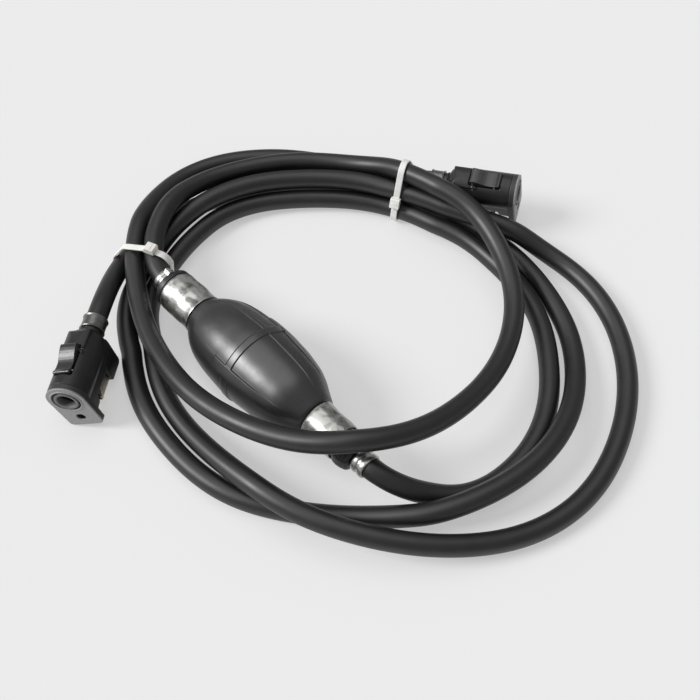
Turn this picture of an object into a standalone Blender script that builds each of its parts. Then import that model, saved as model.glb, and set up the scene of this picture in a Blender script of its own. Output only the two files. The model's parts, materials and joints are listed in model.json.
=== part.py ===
"""Siphon bulb pump: a rubber primer bulb between two lengths of fuel hose, each
hose ending in a quick connector, the hoses wound in a loose loop held by two
ties.  Lengths are in millimetres in the tables below and are turned into
metres where the meshes are made.  +Z is up and the floor is z = 0; the origin
lies on the floor under the middle of the bulb."""
import math

import bmesh
import bpy
import numpy as np
from mathutils import Matrix, Vector

MM = 0.001

# ------------------------------------------------------------------ sizes
HOSE_R = 6.0            # fuel hose, 12 mm outside
HOSE_SOLID_R = 5.9      # the stored solid is a hair slimmer, to keep its gaps
HOSE_BORE_R = 3.3       # over the barbs
HOSE_BORE_DEPTH = 12.0
HOSE_POINT_STEP = 4     # every fourth settled point: 24 mm, two diameters
SETTLE_STEP = 6.0
SETTLE_GAP = 13.3       # centre to centre of two hoses that touch
FLOOR_Z = 6.15          # centre of a hose that lies on the floor

BULB_R = 24.5
BULB_MID_Z = 24.45
BULB_AZIMUTH = -46.5    # degrees, from the inlet to the outlet
BULB_TILT = 1.2         # the outlet lies a hair higher
NECK_R, OUTLET_NECK_R, NECK_BORE_R = 11.3, 10.1, 8.3
INLET_SLEEVE = (49.8, 75.4)
OUTLET_SLEEVE = (47.5, 67.9)
COLLAR_FACE = 79.3      # the hose butts against the collar here
BARB_TIP = 91.0
CLAMP_FROM, CLAMP_TO = 80.2, 88.2
PRESS_HALF = (24.0, 13.0)   # wall under the fingers
CHAMBER_R = 6.05
BALL_R = 4.6

# connector, in its own frame: x out of the face, z towards the thumb lever
ENGINE_FACE, ENGINE_TURN = (-103.2, -23.4, 25.6), (-97.4, 1.7, 18.5)
TANK_FACE, TANK_TURN = (156.2, 128.95, 28.0), (-17.5, 6.2, 15.0)
PLATE_T = 4.0
PLATE_R = 11.3
FOOT_HALF = 10.7
PLATE_FOOT = 22.8
PIN_Z = -15.6
SOCKET_R = 5.2
PIVOT = (-27.6, 0.0, 9.4)
EAR_WAY = (0.0, 0.57, -0.82)   # the clamps were closed from below
HOSE_END = -45.9

# ------------------------------------------------------------------ routes
# engine hose: from its connector round the loop to the bulb's outlet
ENGINE_ROUTE = [
    (-90, 73, 13), (-83, 97, 6), (-69, 120, 6), (-50, 134, 6), (-28, 148, 6), (-4, 156, 6), (19, 159, 6), (47, 158, 6),
    (76, 153, 6), (89, 148, 6), (115, 136, 6), (136, 119, 6), (154, 98, 6), (161, 86, 6), (171, 67, 6), (180, 46, 6),
    (183, 29, 7), (182, 8, 9), (177, -16, 13), (161, -46, 18), (138, -67, 18.8), (108, -81, 18), (78, -84, 12), (53, -83, 7),
    (32, -81, 6), (2, -74, 6), (-25, -59, 6), (-48, -37, 6), (-61, -18, 6), (-72, 8, 6), (-80, 34, 6), (-81, 62, 6),
    (-72, 91, 6), (-60, 110, 11), (-53, 120, 14), (-41, 132, 16), (-25, 141, 16.4), (-6, 148, 16.4), (20, 151, 16.4), (46, 151, 16.4),
    (72, 146, 16.8), (85, 141, 17.3), (104, 133, 18), (123, 123, 17.5), (138, 114.8, 14.5), (152, 108, 10), (165, 102.3, 6.8), (176, 95.5, 6),
    (187, 87.5, 6), (206, 57, 6), (213, 18, 6), (208, -17, 6), (195, -48, 6), (175, -74, 6), (151, -90, 7), (129, -98, 9.5),
    (98, -102, 14), (64, -99, 18), (25, -85, 18.5), (3, -70, 16), (-21, -50, 12), (-41, -27, 8.5), (-57, -1, 6), (-65, 25, 6),
    (-69, 60, 6), (-61, 86, 6), (-53, 108, 6), (-41, 122, 6), (-21, 135, 6), (-1, 142, 6), (20, 144, 6), (46, 144, 6),
    (73, 140, 6), (85, 136, 6), (107, 125, 6), (126, 110, 6), (144, 90, 6), (163, 58, 6), (168, 23, 6), (165, -11, 6),
    (152, -41, 6), (130, -63, 6), (117, -71, 8.5), (106, -76, 12.3), (95, -78.5, 17.2), (84, -78, 21.8), (74, -74, 24.7)]
# tank hose: from its connector round the loop to the bulb's inlet
TANK_ROUTE = [
    (90, 156, 10.5), (79, 161.5, 9), (60, 170, 6.5), (39, 176, 6), (18, 181, 6), (-2, 182, 6), (-21, 180, 6), (-40, 175, 6),
    (-58, 163, 7), (-68, 148, 10), (-77, 123, 14), (-79, 100, 17.5), (-78, 81, 17.5), (-73, 54, 19), (-64, 27, 21), (-49, 0, 25),
    (-30, -24, 30), (-2, -44, 35), (28, -56, 39), (58, -57, 41), (85, -50, 38.5), (108, -34, 33), (132, -5, 25), (144, 21, 22.5),
    (149, 44, 23), (148, 64, 25), (139, 94, 27.5), (130, 110, 29), (122, 121, 30.5), (110, 130.5, 30.3), (98, 141.5, 25.5), (88, 148.8, 20.5),
    (78, 155, 18.5), (65, 161.3, 17), (39, 167, 17), (20, 168, 17), (1, 166, 17), (-25, 158, 17), (-40, 151, 17), (-52, 135, 18),
    (-60, 119, 19.4), (-67, 101, 21.6), (-69, 86, 23)]
LAY = np.array([-2.4, 0.5, 0.0])    # the whole loop lies this far from where its routes are drawn
SLIP = (0.0, -0.57, 0.82)    # strands may ride over each other this way
TIES = {"left_tie": ((-76.5, 83.1), 68.0, 11.0), "right_tie": ((87.9, 147.0), -20.0, 17.9)}

for o in list(bpy.data.objects):
    bpy.data.objects.remove(o, do_unlink=True)


# ------------------------------------------------------------------ helpers
def unit(v):
    v = np.asarray(v, float)
    return v / np.linalg.norm(v)


def axes(azimuth, pitch, roll):
    """Columns: forward, left and up of a piece turned by azimuth, pitch and roll."""
    a, p, r = (math.radians(k) for k in (azimuth, pitch, roll))
    x = np.array([math.cos(a) * math.cos(p), math.sin(a) * math.cos(p), math.sin(p)])
    y = unit(np.cross([0, 0, 1], x))
    z = np.cross(x, y)
    return np.array([x, math.cos(r) * y + math.sin(r) * z, -math.sin(r) * y + math.cos(r) * z]).T


def empty(name, rot, pos):
    e = bpy.data.objects.new(name, None)
    m = Matrix([list(rot[i]) + [pos[i] * MM] for i in range(3)] + [[0, 0, 0, 1]])
    e.matrix_world = m
    bpy.context.scene.collection.objects.link(e)
    return e


def material(name, rgb, rough, metal=0.0):
    m = bpy.data.materials.new(name)
    m.use_nodes = True
    b = m.node_tree.nodes["Principled BSDF"]
    b.inputs["Base Color"].default_value = (*rgb, 1.0)
    b.inputs["Roughness"].default_value = rough
    b.inputs["Metallic"].default_value = metal
    m.diffuse_color = (*rgb, 1.0)
    return m


def solid(name, bm):
    bmesh.ops.remove_doubles(bm, verts=bm.verts, dist=1e-7)
    bmesh.ops.recalc_face_normals(bm, faces=bm.faces)
    me = bpy.data.meshes.new(name)
    bm.to_mesh(me)
    bm.free()
    o = bpy.data.objects.new(name, me)
    bpy.context.scene.collection.objects.link(o)
    return o


def lathe(name, profile, seg=24, closed=True, lobes=None):
    """Turns (x, r) points about X.  closed: the points ring a hollow; else both ends lie on the axis."""
    bm = bmesh.new()
    rings = []
    for x, r in profile:
        if r <= 1e-9:
            rings.append([bm.verts.new((x * MM, 0, 0))])
            continue
        ring = []
        for k in range(seg):
            f = 2 * math.pi * (k + 0.5) / seg
            q = r * (lobes(f) if lobes and r > lobes.above else 1.0)
            ring.append(bm.verts.new((x * MM, q * math.cos(f) * MM, q * math.sin(f) * MM)))
        rings.append(ring)
    pairs = list(zip(rings, rings[1:])) + ([(rings[-1], rings[0])] if closed else [])
    for a, b in pairs:
        for k in range(seg):
            j = (k + 1) % seg
            if len(a) == 1:
                bm.faces.new((a[0], b[k], b[j]))
            elif len(b) == 1:
                bm.faces.new((a[k], a[j], b[0]))
            else:
                bm.faces.new((a[k], a[j], b[j], b[k]))
    return solid(name, bm)


def prism(name, points, along, low, high):
    """Extrudes a polygon: (x, z) points along y, (y, z) along x, (x, y) along z."""
    put = {"x": lambda a, b, c: (c, a, b), "y": lambda a, b, c: (a, c, b), "z": lambda a, b, c: (a, b, c)}[along]
    bm = bmesh.new()
    ends = [[bm.verts.new(Vector(put(a, b, c)) * MM) for a, b in points] for c in (low, high)]
    bm.faces.new(ends[0])
    bm.faces.new(ends[1])
    n = len(points)
    for k in range(n):
        bm.faces.new((ends[0][k], ends[0][(k + 1) % n], ends[1][(k + 1) % n], ends[1][k]))
    return solid(name, bm)


def block(name, x, y, z):
    return prism(name, [(x[0], y[0]), (x[1], y[0]), (x[1], y[1]), (x[0], y[1])], "z", *z)


def rod(name, r, low, high, seg=20, turn=None):
    """A plain cylinder along X, turned and moved by the matrix."""
    o = lathe(name, [(low, 0), (low, r), (high, r), (high, 0)], seg, closed=False)
    if turn is not None:
        o.data.transform(turn)
    return o


def at(x, y, z):
    return Matrix.Translation((x * MM, y * MM, z * MM))


ALONG_Y = Matrix.Rotation(math.pi / 2, 4, "Z")
ALONG_Z = Matrix.Rotation(-math.pi / 2, 4, "Y")


def combine(o, other, how):
    m = o.modifiers.new("combine", "BOOLEAN")
    m.operation = how
    m.solver = "EXACT"
    m.object = other
    bpy.context.view_layer.update()
    made = bpy.data.meshes.new_from_object(o.evaluated_get(bpy.context.evaluated_depsgraph_get()))
    o.modifiers.clear()
    o.data = made
    bpy.data.objects.remove(other, do_unlink=True)
    return o


def cut(o, *others):
    for c in others:
        combine(o, c, "DIFFERENCE")
    return o


def add(o, *others):
    for c in others:
        combine(o, c, "UNION")
    return o


def tidy(o, dist=2e-6):
    bm = bmesh.new()
    bm.from_mesh(o.data)
    bmesh.ops.remove_doubles(bm, verts=bm.verts, dist=dist)
    bmesh.ops.dissolve_degenerate(bm, edges=bm.edges, dist=dist)
    bmesh.ops.recalc_face_normals(bm, faces=bm.faces)
    bm.to_mesh(o.data)
    bm.free()
    return o


def soften(o, width, seg=2, angle=35):
    m = o.modifiers.new("edges", "BEVEL")
    m.width = width * MM
    m.segments = seg
    m.limit_method = "ANGLE"
    m.angle_limit = math.radians(angle)
    return o


def coil(name, x0, x1, r, wire, turns, per_turn=8, sides=4):
    """A coil spring along X."""
    bm = bmesh.new()
    n = int(turns * per_turn)
    rings = []
    for i in range(n + 1):
        f = 2 * math.pi * i / per_turn
        x = x0 + (x1 - x0) * i / n
        out = Vector((0, math.cos(f), math.sin(f)))
        c = Vector((x, 0, 0)) + out * r
        rings.append([bm.verts.new((c + (out * math.cos(2 * math.pi * k / sides) + Vector((1, 0, 0)) * math.sin(2 * math.pi * k / sides)) * wire) * MM)
                      for k in range(sides)])
    for a, b in zip(rings, rings[1:]):
        for k in range(sides):
            bm.faces.new((a[k], a[(k + 1) % sides], b[(k + 1) % sides], b[k]))
    bm.faces.new(rings[0])
    bm.faces.new(list(reversed(rings[-1])))
    return solid(name, bm)


def seat(o, parent, mat, origin=(0, 0, 0)):
    """Hangs a piece, modelled in its parent's frame, on the parent with its origin at the given point."""
    o.data.transform(Matrix.Translation(-Vector(origin) * MM))
    o.parent = parent
    o.location = Vector(origin) * MM
    o.data.materials.clear()
    o.data.materials.append(mat)
    return o


# ------------------------------------------------------------------ frames
BULB_ROT = axes(BULB_AZIMUTH, BULB_TILT, 0)
BULB_DIR = BULB_ROT[:, 0]
BULB_MID = np.array([0, 0, BULB_MID_Z])
ENGINE_ROT, TANK_ROT = axes(*ENGINE_TURN), axes(*TANK_TURN)
ENGINE_POS, TANK_POS = np.array(ENGINE_FACE), np.array(TANK_FACE)
ENGINE_END = ENGINE_POS + ENGINE_ROT @ [HOSE_END, 0, 0]
TANK_END = TANK_POS + TANK_ROT @ [HOSE_END, 0, 0]
OUTLET_END = BULB_MID + BULB_DIR * (COLLAR_FACE + 0.3)
INLET_END = BULB_MID - BULB_DIR * (COLLAR_FACE + 0.3)


# ------------------------------------------------------------------ hoses
def even(p, step):
    s = np.concatenate([[0], np.cumsum(np.linalg.norm(np.diff(p, axis=0), axis=1))])
    q = np.linspace(0, s[-1], int(round(s[-1] / step)) + 1)
    return np.stack([np.interp(q, s, p[:, k]) for k in range(3)], 1)


def smooth_curve(points, step):
    """A natural cubic through the route's points, read at even steps."""
    p = np.asarray(points, float)
    t = np.concatenate([[0], np.cumsum(np.linalg.norm(np.diff(p, axis=0), axis=1) ** 0.5)])
    n, h = len(p), np.diff(t)
    m, r = np.zeros((n, n)), np.zeros((n, 3))
    m[0, 0] = m[-1, -1] = 1
    for i in range(1, n - 1):
        m[i, i - 1], m[i, i], m[i, i + 1] = h[i - 1], 2 * (h[i - 1] + h[i]), h[i]
        r[i] = 6 * ((p[i + 1] - p[i]) / h[i] - (p[i] - p[i - 1]) / h[i - 1])
    c = np.linalg.solve(m, r)
    out = []
    for i in range(n - 1):
        s = np.linspace(0, 1, 60, endpoint=False)[:, None]
        out.append(p[i] * (1 - s) + p[i + 1] * s + ((1 - s) ** 3 - (1 - s)) * c[i] * h[i] ** 2 / 6 + (s ** 3 - s) * c[i + 1] * h[i] ** 2 / 6)
    return even(np.concatenate(out + [p[-1:]]), step)


def keep_clear():
    """Balls that fill the bulb (0), the engine connector (1) and the tank connector (2)."""
    balls = []
    for t in np.arange(-90, 90.1, 3):
        r = np.interp(abs(t), [0, 12, 24, 34, 42, 47, 50, 69, 79, 80, 90], [24.7, 24.3, 22.9, 20.2, 16.4, 14.0, 13.3, 12.9, 12.4, 8, 8])
        balls.append((*(BULB_MID + BULB_DIR * t), r, 0))
    for which, pos, rot in ((1, ENGINE_POS, ENGINE_ROT), (2, TANK_POS, TANK_ROT)):
        for x in np.arange(-62, -0.9, 3):
            balls.append((*(pos + rot @ [x, 0, 0]), 7.4 if x < -43.5 else 11.4, which))
            for y, z, r, end in ((4, -9, 6.2, 0), (-4, -9, 6.2, 0), (3.6, -17.2, 5.7, 0), (-3.6, -17.2, 5.7, 0), (4.4, 6.8, 6.0, -26), (-4.4, 6.8, 6.0, -26)):
                if -45 < x < end:
                    balls.append((*(pos + rot @ [x, y, z]), r, which))
    return np.array(balls)


def settle(rounds=500):
    """Lays both hoses along their routes and lets them push each other, the floor and the fittings away."""
    step, gap = SETTLE_STEP, SETTLE_GAP
    e_out, t_out = -ENGINE_ROT[:, 0], -TANK_ROT[:, 0]
    one = smooth_curve([ENGINE_END, ENGINE_END + e_out * 18, *(np.array(ENGINE_ROUTE) + LAY), OUTLET_END + BULB_DIR * 9, OUTLET_END], step)
    two = smooth_curve([TANK_END, TANK_END + t_out * 18, *(np.array(TANK_ROUTE) + LAY), INLET_END - BULB_DIR * 9, INLET_END], step)
    na = len(one)
    p = np.concatenate([one, two])
    n, goal = len(p), p.copy()
    idx = np.arange(n)
    apart = np.triu(((idx >= na)[:, None] != (idx >= na)[None]) | (abs(idx[:, None] - idx[None]) * step > 40), 1)
    free = np.ones(n, bool)
    for i, way, end, d, m in ((0, 1, ENGINE_END, e_out, 3), (na - 1, -1, OUTLET_END, BULB_DIR, 1), (na, 1, TANK_END, t_out, 3), (n - 1, -1, INLET_END, -BULB_DIR, 1)):
        for k in range(m + 1):
            p[i + way * k] = end + d * step * k
            free[i + way * k] = False
    balls = keep_clear()
    kc, kr, kn = balls[:, :3], balls[:, 3] + HOSE_R + 0.45, balls[:, 4]
    skip = np.zeros((n, len(balls)), bool)
    m, e = int(70 / step), int(60 / step)
    outlet_side = (kc - BULB_MID) @ BULB_DIR
    skip[:m] |= kn == 1
    skip[na:na + m] |= kn == 2
    skip[na - e:na] |= (kn == 0) & (outlet_side > 40)
    skip[n - e:] |= (kn == 0) & (outlet_side < -40)
    weight, runs = np.ones((n, 1)), ((0, na), (na, n))
    for s, e in runs:
        k = np.arange(e - s) * step
        weight[s:e, 0] = np.clip((np.minimum(k, k[::-1]) - 14) / 90, 0, 1)
    slip = unit(SLIP)
    hold = free[:, None]
    for it in range(rounds):
        f = it / rounds
        if it % 12 == 0:
            d = p[:, None] - p[None]
            pi, pj = np.nonzero(apart & ((d * d).sum(-1) < (gap + 7) ** 2))
            ki, kj = np.nonzero(~skip & (np.linalg.norm(p[:, None] - kc[None], axis=2) < kr[None] + 7))
        d = goal - p
        ride = (d @ slip)[:, None] * slip
        mv = (0.06 * (1 - 0.6 * f) * (d - ride) + 0.006 * ride) * weight
        mv[:, 2] -= 0.02 * (1 - f) * weight[:, 0]
        p += mv * hold
        for _ in range(6):
            for s, e in runs:
                q = p[s:e]
                b = np.zeros_like(q)
                b[2:-2] = q[:-4] - 4 * q[1:-3] + 6 * q[2:-2] - 4 * q[3:-1] + q[4:]
                p[s:e] -= 0.058 * b * hold[s:e]
        for _ in range(2):
            d = p[pi] - p[pj]
            r = np.linalg.norm(d, axis=1)
            w = r < gap
            i, j, v = pi[w], pj[w], d[w] / r[w][:, None] * ((gap - r[w]) * 0.5)[:, None]
            acc, cnt = np.zeros_like(p), np.zeros(n)
            np.add.at(acc, i, v * np.where(free[j], 1, 2)[:, None])
            np.add.at(acc, j, -v * np.where(free[i], 1, 2)[:, None])
            np.add.at(cnt, i, 1)
            np.add.at(cnt, j, 1)
            p += hold * acc / np.maximum(1, cnt * 0.6)[:, None]
            d = p[ki] - kc[kj]
            r = np.linalg.norm(d, axis=1)
            w = r < kr[kj]
            acc, cnt = np.zeros_like(p), np.zeros(n)
            np.add.at(acc, ki[w], d[w] / r[w][:, None] * (kr[kj] - r)[w][:, None])
            np.add.at(cnt, ki[w], 1)
            p += hold * acc / np.maximum(1, cnt * 0.5)[:, None]
            p[:, 2] = np.where(free, np.maximum(p[:, 2], FLOOR_Z), p[:, 2])
    return p[:na], p[na:]


def hose(name, line, ends, mat):
    """A plain tube along the settled line, bored at both ends for the barbs."""
    (a, da), (b, db) = ends
    inner = line[HOSE_POINT_STEP:-HOSE_POINT_STEP // 2]
    count = max(2, int(round((len(inner) - 1) / HOSE_POINT_STEP)))
    pts = inner[np.round(np.linspace(0, len(inner) - 1, count + 1)).astype(int)]
    if np.linalg.norm(pts[-1] - (b + db * HOSE_BORE_DEPTH)) < 18:
        pts = pts[:-1]
    bow = (pts[:-2] + pts[2:]) / 2 - pts[1:-1]
    pts = pts.copy()
    pts[1:-1] -= 0.2 * bow        # chords share the bend's error between both sides
    pts[:, 2] = np.maximum(pts[:, 2], 6.05)
    pts = np.vstack([a, a + da * (HOSE_BORE_DEPTH + 0.6), pts, b + db * (HOSE_BORE_DEPTH + 0.6), b])
    cu = bpy.data.curves.new(name + "_line", "CURVE")
    cu.dimensions = "3D"
    cu.bevel_depth = HOSE_SOLID_R * MM
    cu.bevel_resolution = 2
    cu.use_fill_caps = True
    sp = cu.splines.new("POLY")
    sp.points.add(len(pts) - 1)
    for q, c in zip(sp.points, pts):
        q.co = (*(c * MM), 1)
    line_obj = bpy.data.objects.new(name + "_line", cu)
    bpy.context.scene.collection.objects.link(line_obj)
    bpy.context.view_layer.update()
    me = bpy.data.meshes.new_from_object(line_obj.evaluated_get(bpy.context.evaluated_depsgraph_get()))
    bpy.data.objects.remove(line_obj, do_unlink=True)
    o = bpy.data.objects.new(name, me)
    bpy.context.scene.collection.objects.link(o)
    tidy(o, 1e-7)
    for p, d in ends:
        rot = np.array([d, unit(np.cross([0, 0, 1], d)), np.cross(d, unit(np.cross([0, 0, 1], d)))]).T
        turn = Matrix([list(rot[i]) + [p[i] * MM] for i in range(3)] + [[0, 0, 0, 1]])
        cut(o, rod("bore", HOSE_BORE_R, -2.0, HOSE_BORE_DEPTH, 12, turn))
    o.data.materials.clear()
    o.data.materials.append(mat)
    tidy(o, 1e-7)
    return pts


def tie(name, lines, centre, azimuth, head_at, mat):
    """A strap drawn round the strands that cross its plane, with its ratchet head and cut tail."""
    n = np.array([math.cos(math.radians(azimuth)), math.sin(math.radians(azimuth)), 0.0])
    side = np.array([n[1], -n[0], 0.0])
    c = np.array([*centre, 0.0]) + LAY
    spots = []
    for shift in (-2.6, 0.0, 2.6):
        for line in lines:
            h = (line - c - n * shift) @ n
            for i in np.nonzero(h[:-1] * h[1:] <= 0)[0]:
                q = line[i] + (line[i + 1] - line[i]) * h[i] / (h[i] - h[i + 1])
                if np.linalg.norm(q[:2] - c[:2]) < 45:
                    run = unit(line[i + 1] - line[i])
                    slant = HOSE_R * (1 / abs(run @ n) - 1)      # an oblique strand is wider in the strap's plane
                    over = run - n * (run @ n)
                    over = over / max(np.linalg.norm(over), 1e-9) * slant
                    for q2 in (q - over, q, q + over):
                        spots.append(((q2 - c) @ side, max(q2[2], HOSE_R + 0.1)))
    spots = np.array(spots)

    def loop(r, count=44):
        out = []
        for k in range(count):
            f = 2 * math.pi * k / count
            d = np.array([math.cos(f), math.sin(f)])
            s = spots[np.argmax(spots @ d)] + d * r
            out.append((s[0], max(s[1], 0.02 if r > HOSE_R + 1 else 0.12)))
        return out

    bm = bmesh.new()
    turn = Matrix([[side[0], 0, n[0], c[0] * MM], [side[1], 0, n[1], c[1] * MM], [0, 1, 0, 0], [0, 0, 0, 1]])
    rings = []
    for r, w in ((HOSE_R + 0.5, -2.0), (HOSE_R + 1.5, -2.0), (HOSE_R + 1.5, 2.0), (HOSE_R + 0.5, 2.0)):
        rings.append([bm.verts.new((a * MM, b * MM, w * MM)) for a, b in loop(r)])
    m = len(rings[0])
    for a, b in zip(rings, rings[1:] + rings[:1]):
        for k in range(m):
            bm.faces.new((a[k], a[(k + 1) % m], b[(k + 1) % m], b[k]))
    o = solid(name, bm)
    ring = even(np.array([(a, b, 0) for a, b in loop(HOSE_R + 0.9, 360)]), 0.5)[:, :2]
    top = np.nonzero(ring[:, 1] > ring[:, 1].mean())[0]
    k = top[np.argmin(np.abs(ring[top, 0] - head_at))]
    run = unit(ring[k + 1] - ring[k - 1])
    d, s = np.array([run[1], -run[0]]), ring[k]
    frame = Matrix([[d[1], d[0], 0, s[0] * MM], [-d[0], d[1], 0, s[1] * MM], [0, 0, 1, 0], [0, 0, 0, 1]])
    head = block("head", (-3.4, 3.4), (0.0, 4.3), (-3.1, 3.1))
    tail = block("tail", (-1.0, 0.4), (3.0, 6.4), (-1.8, 1.8))
    for q in (head, tail):
        q.data.transform(frame)
    add(o, head, tail)
    o.data.transform(turn)
    o.data.materials.clear()
    o.data.materials.append(mat)
    return tidy(o)


# ------------------------------------------------------------------ materials
RUBBER = material("bulb_rubber", (0.045, 0.045, 0.047), 0.55)
HOSE = material("hose_rubber", (0.018, 0.018, 0.019), 0.42)
PLASTIC = material("black_plastic", (0.022, 0.022, 0.023), 0.45)
GREY = material("grey_plastic", (0.11, 0.11, 0.11), 0.5)
SEAL = material("seal_rubber", (0.012, 0.012, 0.012), 0.6)
STEEL = material("crimped_steel", (0.62, 0.61, 0.58), 0.22, 1.0)
BAND = material("clamp_steel", (0.55, 0.54, 0.53), 0.3, 1.0)
SPRING = material("spring_steel", (0.5, 0.49, 0.47), 0.3, 1.0)
LATCH = material("latch_steel", (0.58, 0.54, 0.46), 0.32, 1.0)
NYLON = material("tie_nylon", (0.82, 0.82, 0.79), 0.5)

# ------------------------------------------------------------------ bulb
bulb = empty("bulb_assembly", BULB_ROT, BULB_MID)

outer = [(48.6, 12.8), (46.4, 13.8), (41, 16.4), (34, 19.9), (24, 22.6), (12, 24.0)]
inner = [(46.6, 8.3), (44.6, 10.8), (39.6, 13.4), (33, 16.9), (23.4, 19.6), (11.7, 21.0)]


def blunt(points):
    """The outlet's end of the bulb is a little shorter than the inlet's."""
    return [(x * (1 - 0.048 * (x / 48.6) ** 2), r) for x, r in points]


profile = [(-74.5, NECK_R), (-49.4, NECK_R)] + [(-x, r) for x, r in outer] + [(0, BULB_R)]
profile += list(reversed(blunt(outer))) + [(47.1, OUTLET_NECK_R), (66.2, OUTLET_NECK_R), (66.2, NECK_BORE_R)]
profile += blunt(inner) + [(0, 21.5)] + [(-x, r) for x, r in reversed(inner)] + [(-74.5, NECK_BORE_R)]
shell = lathe("bulb_shell", profile, 28)


def stadium(half_x, half_y, n=7):
    pts = []
    for s in (1, -1):
        for k in range(n):
            f = -math.pi / 2 + math.pi * k / (n - 1)
            pts.append((s * (half_x - half_y + half_y * math.cos(f)), s * half_y * math.sin(f)))
    return pts


wall = lathe("bulb_press_wall", profile, 28)
combine(wall, prism("keep", stadium(*PRESS_HALF), "z", 6, 40), "INTERSECT")
cut(shell, prism("gap", stadium(PRESS_HALF[0] + 0.35, PRESS_HALF[1] + 0.35), "z", 6, 40))
seat(tidy(shell), bulb, RUBBER)
seat(tidy(wall), bulb, RUBBER, (0, 0, 22.5))

def sleeve(name, points, bore):
    return lathe(name, [(points[0][0], bore), *points, (points[-1][0], bore)], 28)


seat(sleeve("inlet_sleeve", [(-INLET_SLEEVE[1], 12.1), (-73.6, 12.6), (-INLET_SLEEVE[0], 12.7)], 11.6), bulb, STEEL)
seat(sleeve("outlet_sleeve", [(OUTLET_SLEEVE[0], 11.6), (58, 11.0), (OUTLET_SLEEVE[1], 10.8)], 10.4), bulb, STEEL)


def valve_body(name, side, collar, lobes=None):
    p = [(BARB_TIP, 1.9), (BARB_TIP, 2.5), (88.6, 3.1), (88.5, 2.7), (86.2, 3.1), (86.1, 2.7), (COLLAR_FACE, 2.7), *collar,
         (collar[-1][0], 8.1), (50, 8.1), (50, CHAMBER_R), (66, CHAMBER_R), (70.5, 1.9)]
    return lathe(name, [(side * x, r) for x, r in p], 24, lobes=lobes)


def scallop(f):
    return 0.965 + 0.035 * math.cos(6 * f)


scallop.above = 8.5
seat(valve_body("inlet_valve_body", -1, [(COLLAR_FACE, 11.3), (COLLAR_FACE - 0.7, 12.1), (76.4, 12.1), (75.8, 11.7)]), bulb, PLASTIC)
seat(valve_body("outlet_valve_body", 1, [(COLLAR_FACE, 8.7), (78.2, 9.8), (75.6, 10.7), (72.0, 11.0), (69.3, 10.7), (68.2, 10.0)], scallop), bulb, PLASTIC)


def ball(name, x):
    k = 8
    return lathe(name, [(x - BALL_R * math.cos(math.pi * i / k), BALL_R * math.sin(math.pi * i / k) if 0 < i < k else 0) for i in range(k + 1)], 14, closed=False)


seat(ball("inlet_valve_ball", -65.6), bulb, SEAL, (-65.6, 0, 0))
seat(ball("outlet_valve_ball", 54.7), bulb, SEAL, (54.7, 0, 0))
seat(coil("inlet_valve_spring", -61.6, -52.7, 3.2, 0.35, 4), bulb, SPRING)
seat(coil("outlet_valve_spring", 58.7, 66.2, 3.2, 0.35, 4), bulb, SPRING)
seat(lathe("inlet_valve_cage", [(-52.2, 2.4), (-52.2, 5.97), (-50.1, 5.97), (-50.1, 2.4)], 24), bulb, PLASTIC)
seat(lathe("outlet_valve_seat", [(50.1, 2.5), (50.5, 2.5), (53.5, 5.5), (53.5, 5.97), (50.1, 5.97)], 24), bulb, PLASTIC)


def under(rot):
    """How far round its axis a clamp's ear sits."""
    a = rot.T @ np.array(EAR_WAY)
    return math.atan2(-a[1], a[2])


def band(name, low, high, ear_y=0.0):
    """A crimped hose band with rolled rims and its pinched ear."""
    o = lathe(name, [(low, 6.35), (low, 7.3), (low + 1.1, 7.3), (low + 1.4, 6.95), (high - 1.4, 6.95), (high - 1.1, 7.3), (high, 7.3), (high, 6.35)], 24)
    mid = (low + high) / 2
    ear = block("ear", (mid - 2.2, mid + 2.2), (-2.0, 2.0), (6.7, 9.4))
    ear.data.transform(Matrix.Rotation(ear_y, 4, "X"))
    return tidy(add(o, ear))


seat(band("inlet_clamp", -CLAMP_TO, -CLAMP_FROM, -0.3), bulb, BAND)
seat(band("outlet_clamp", CLAMP_FROM, CLAMP_TO, under(BULB_ROT)), bulb, BAND)


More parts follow.
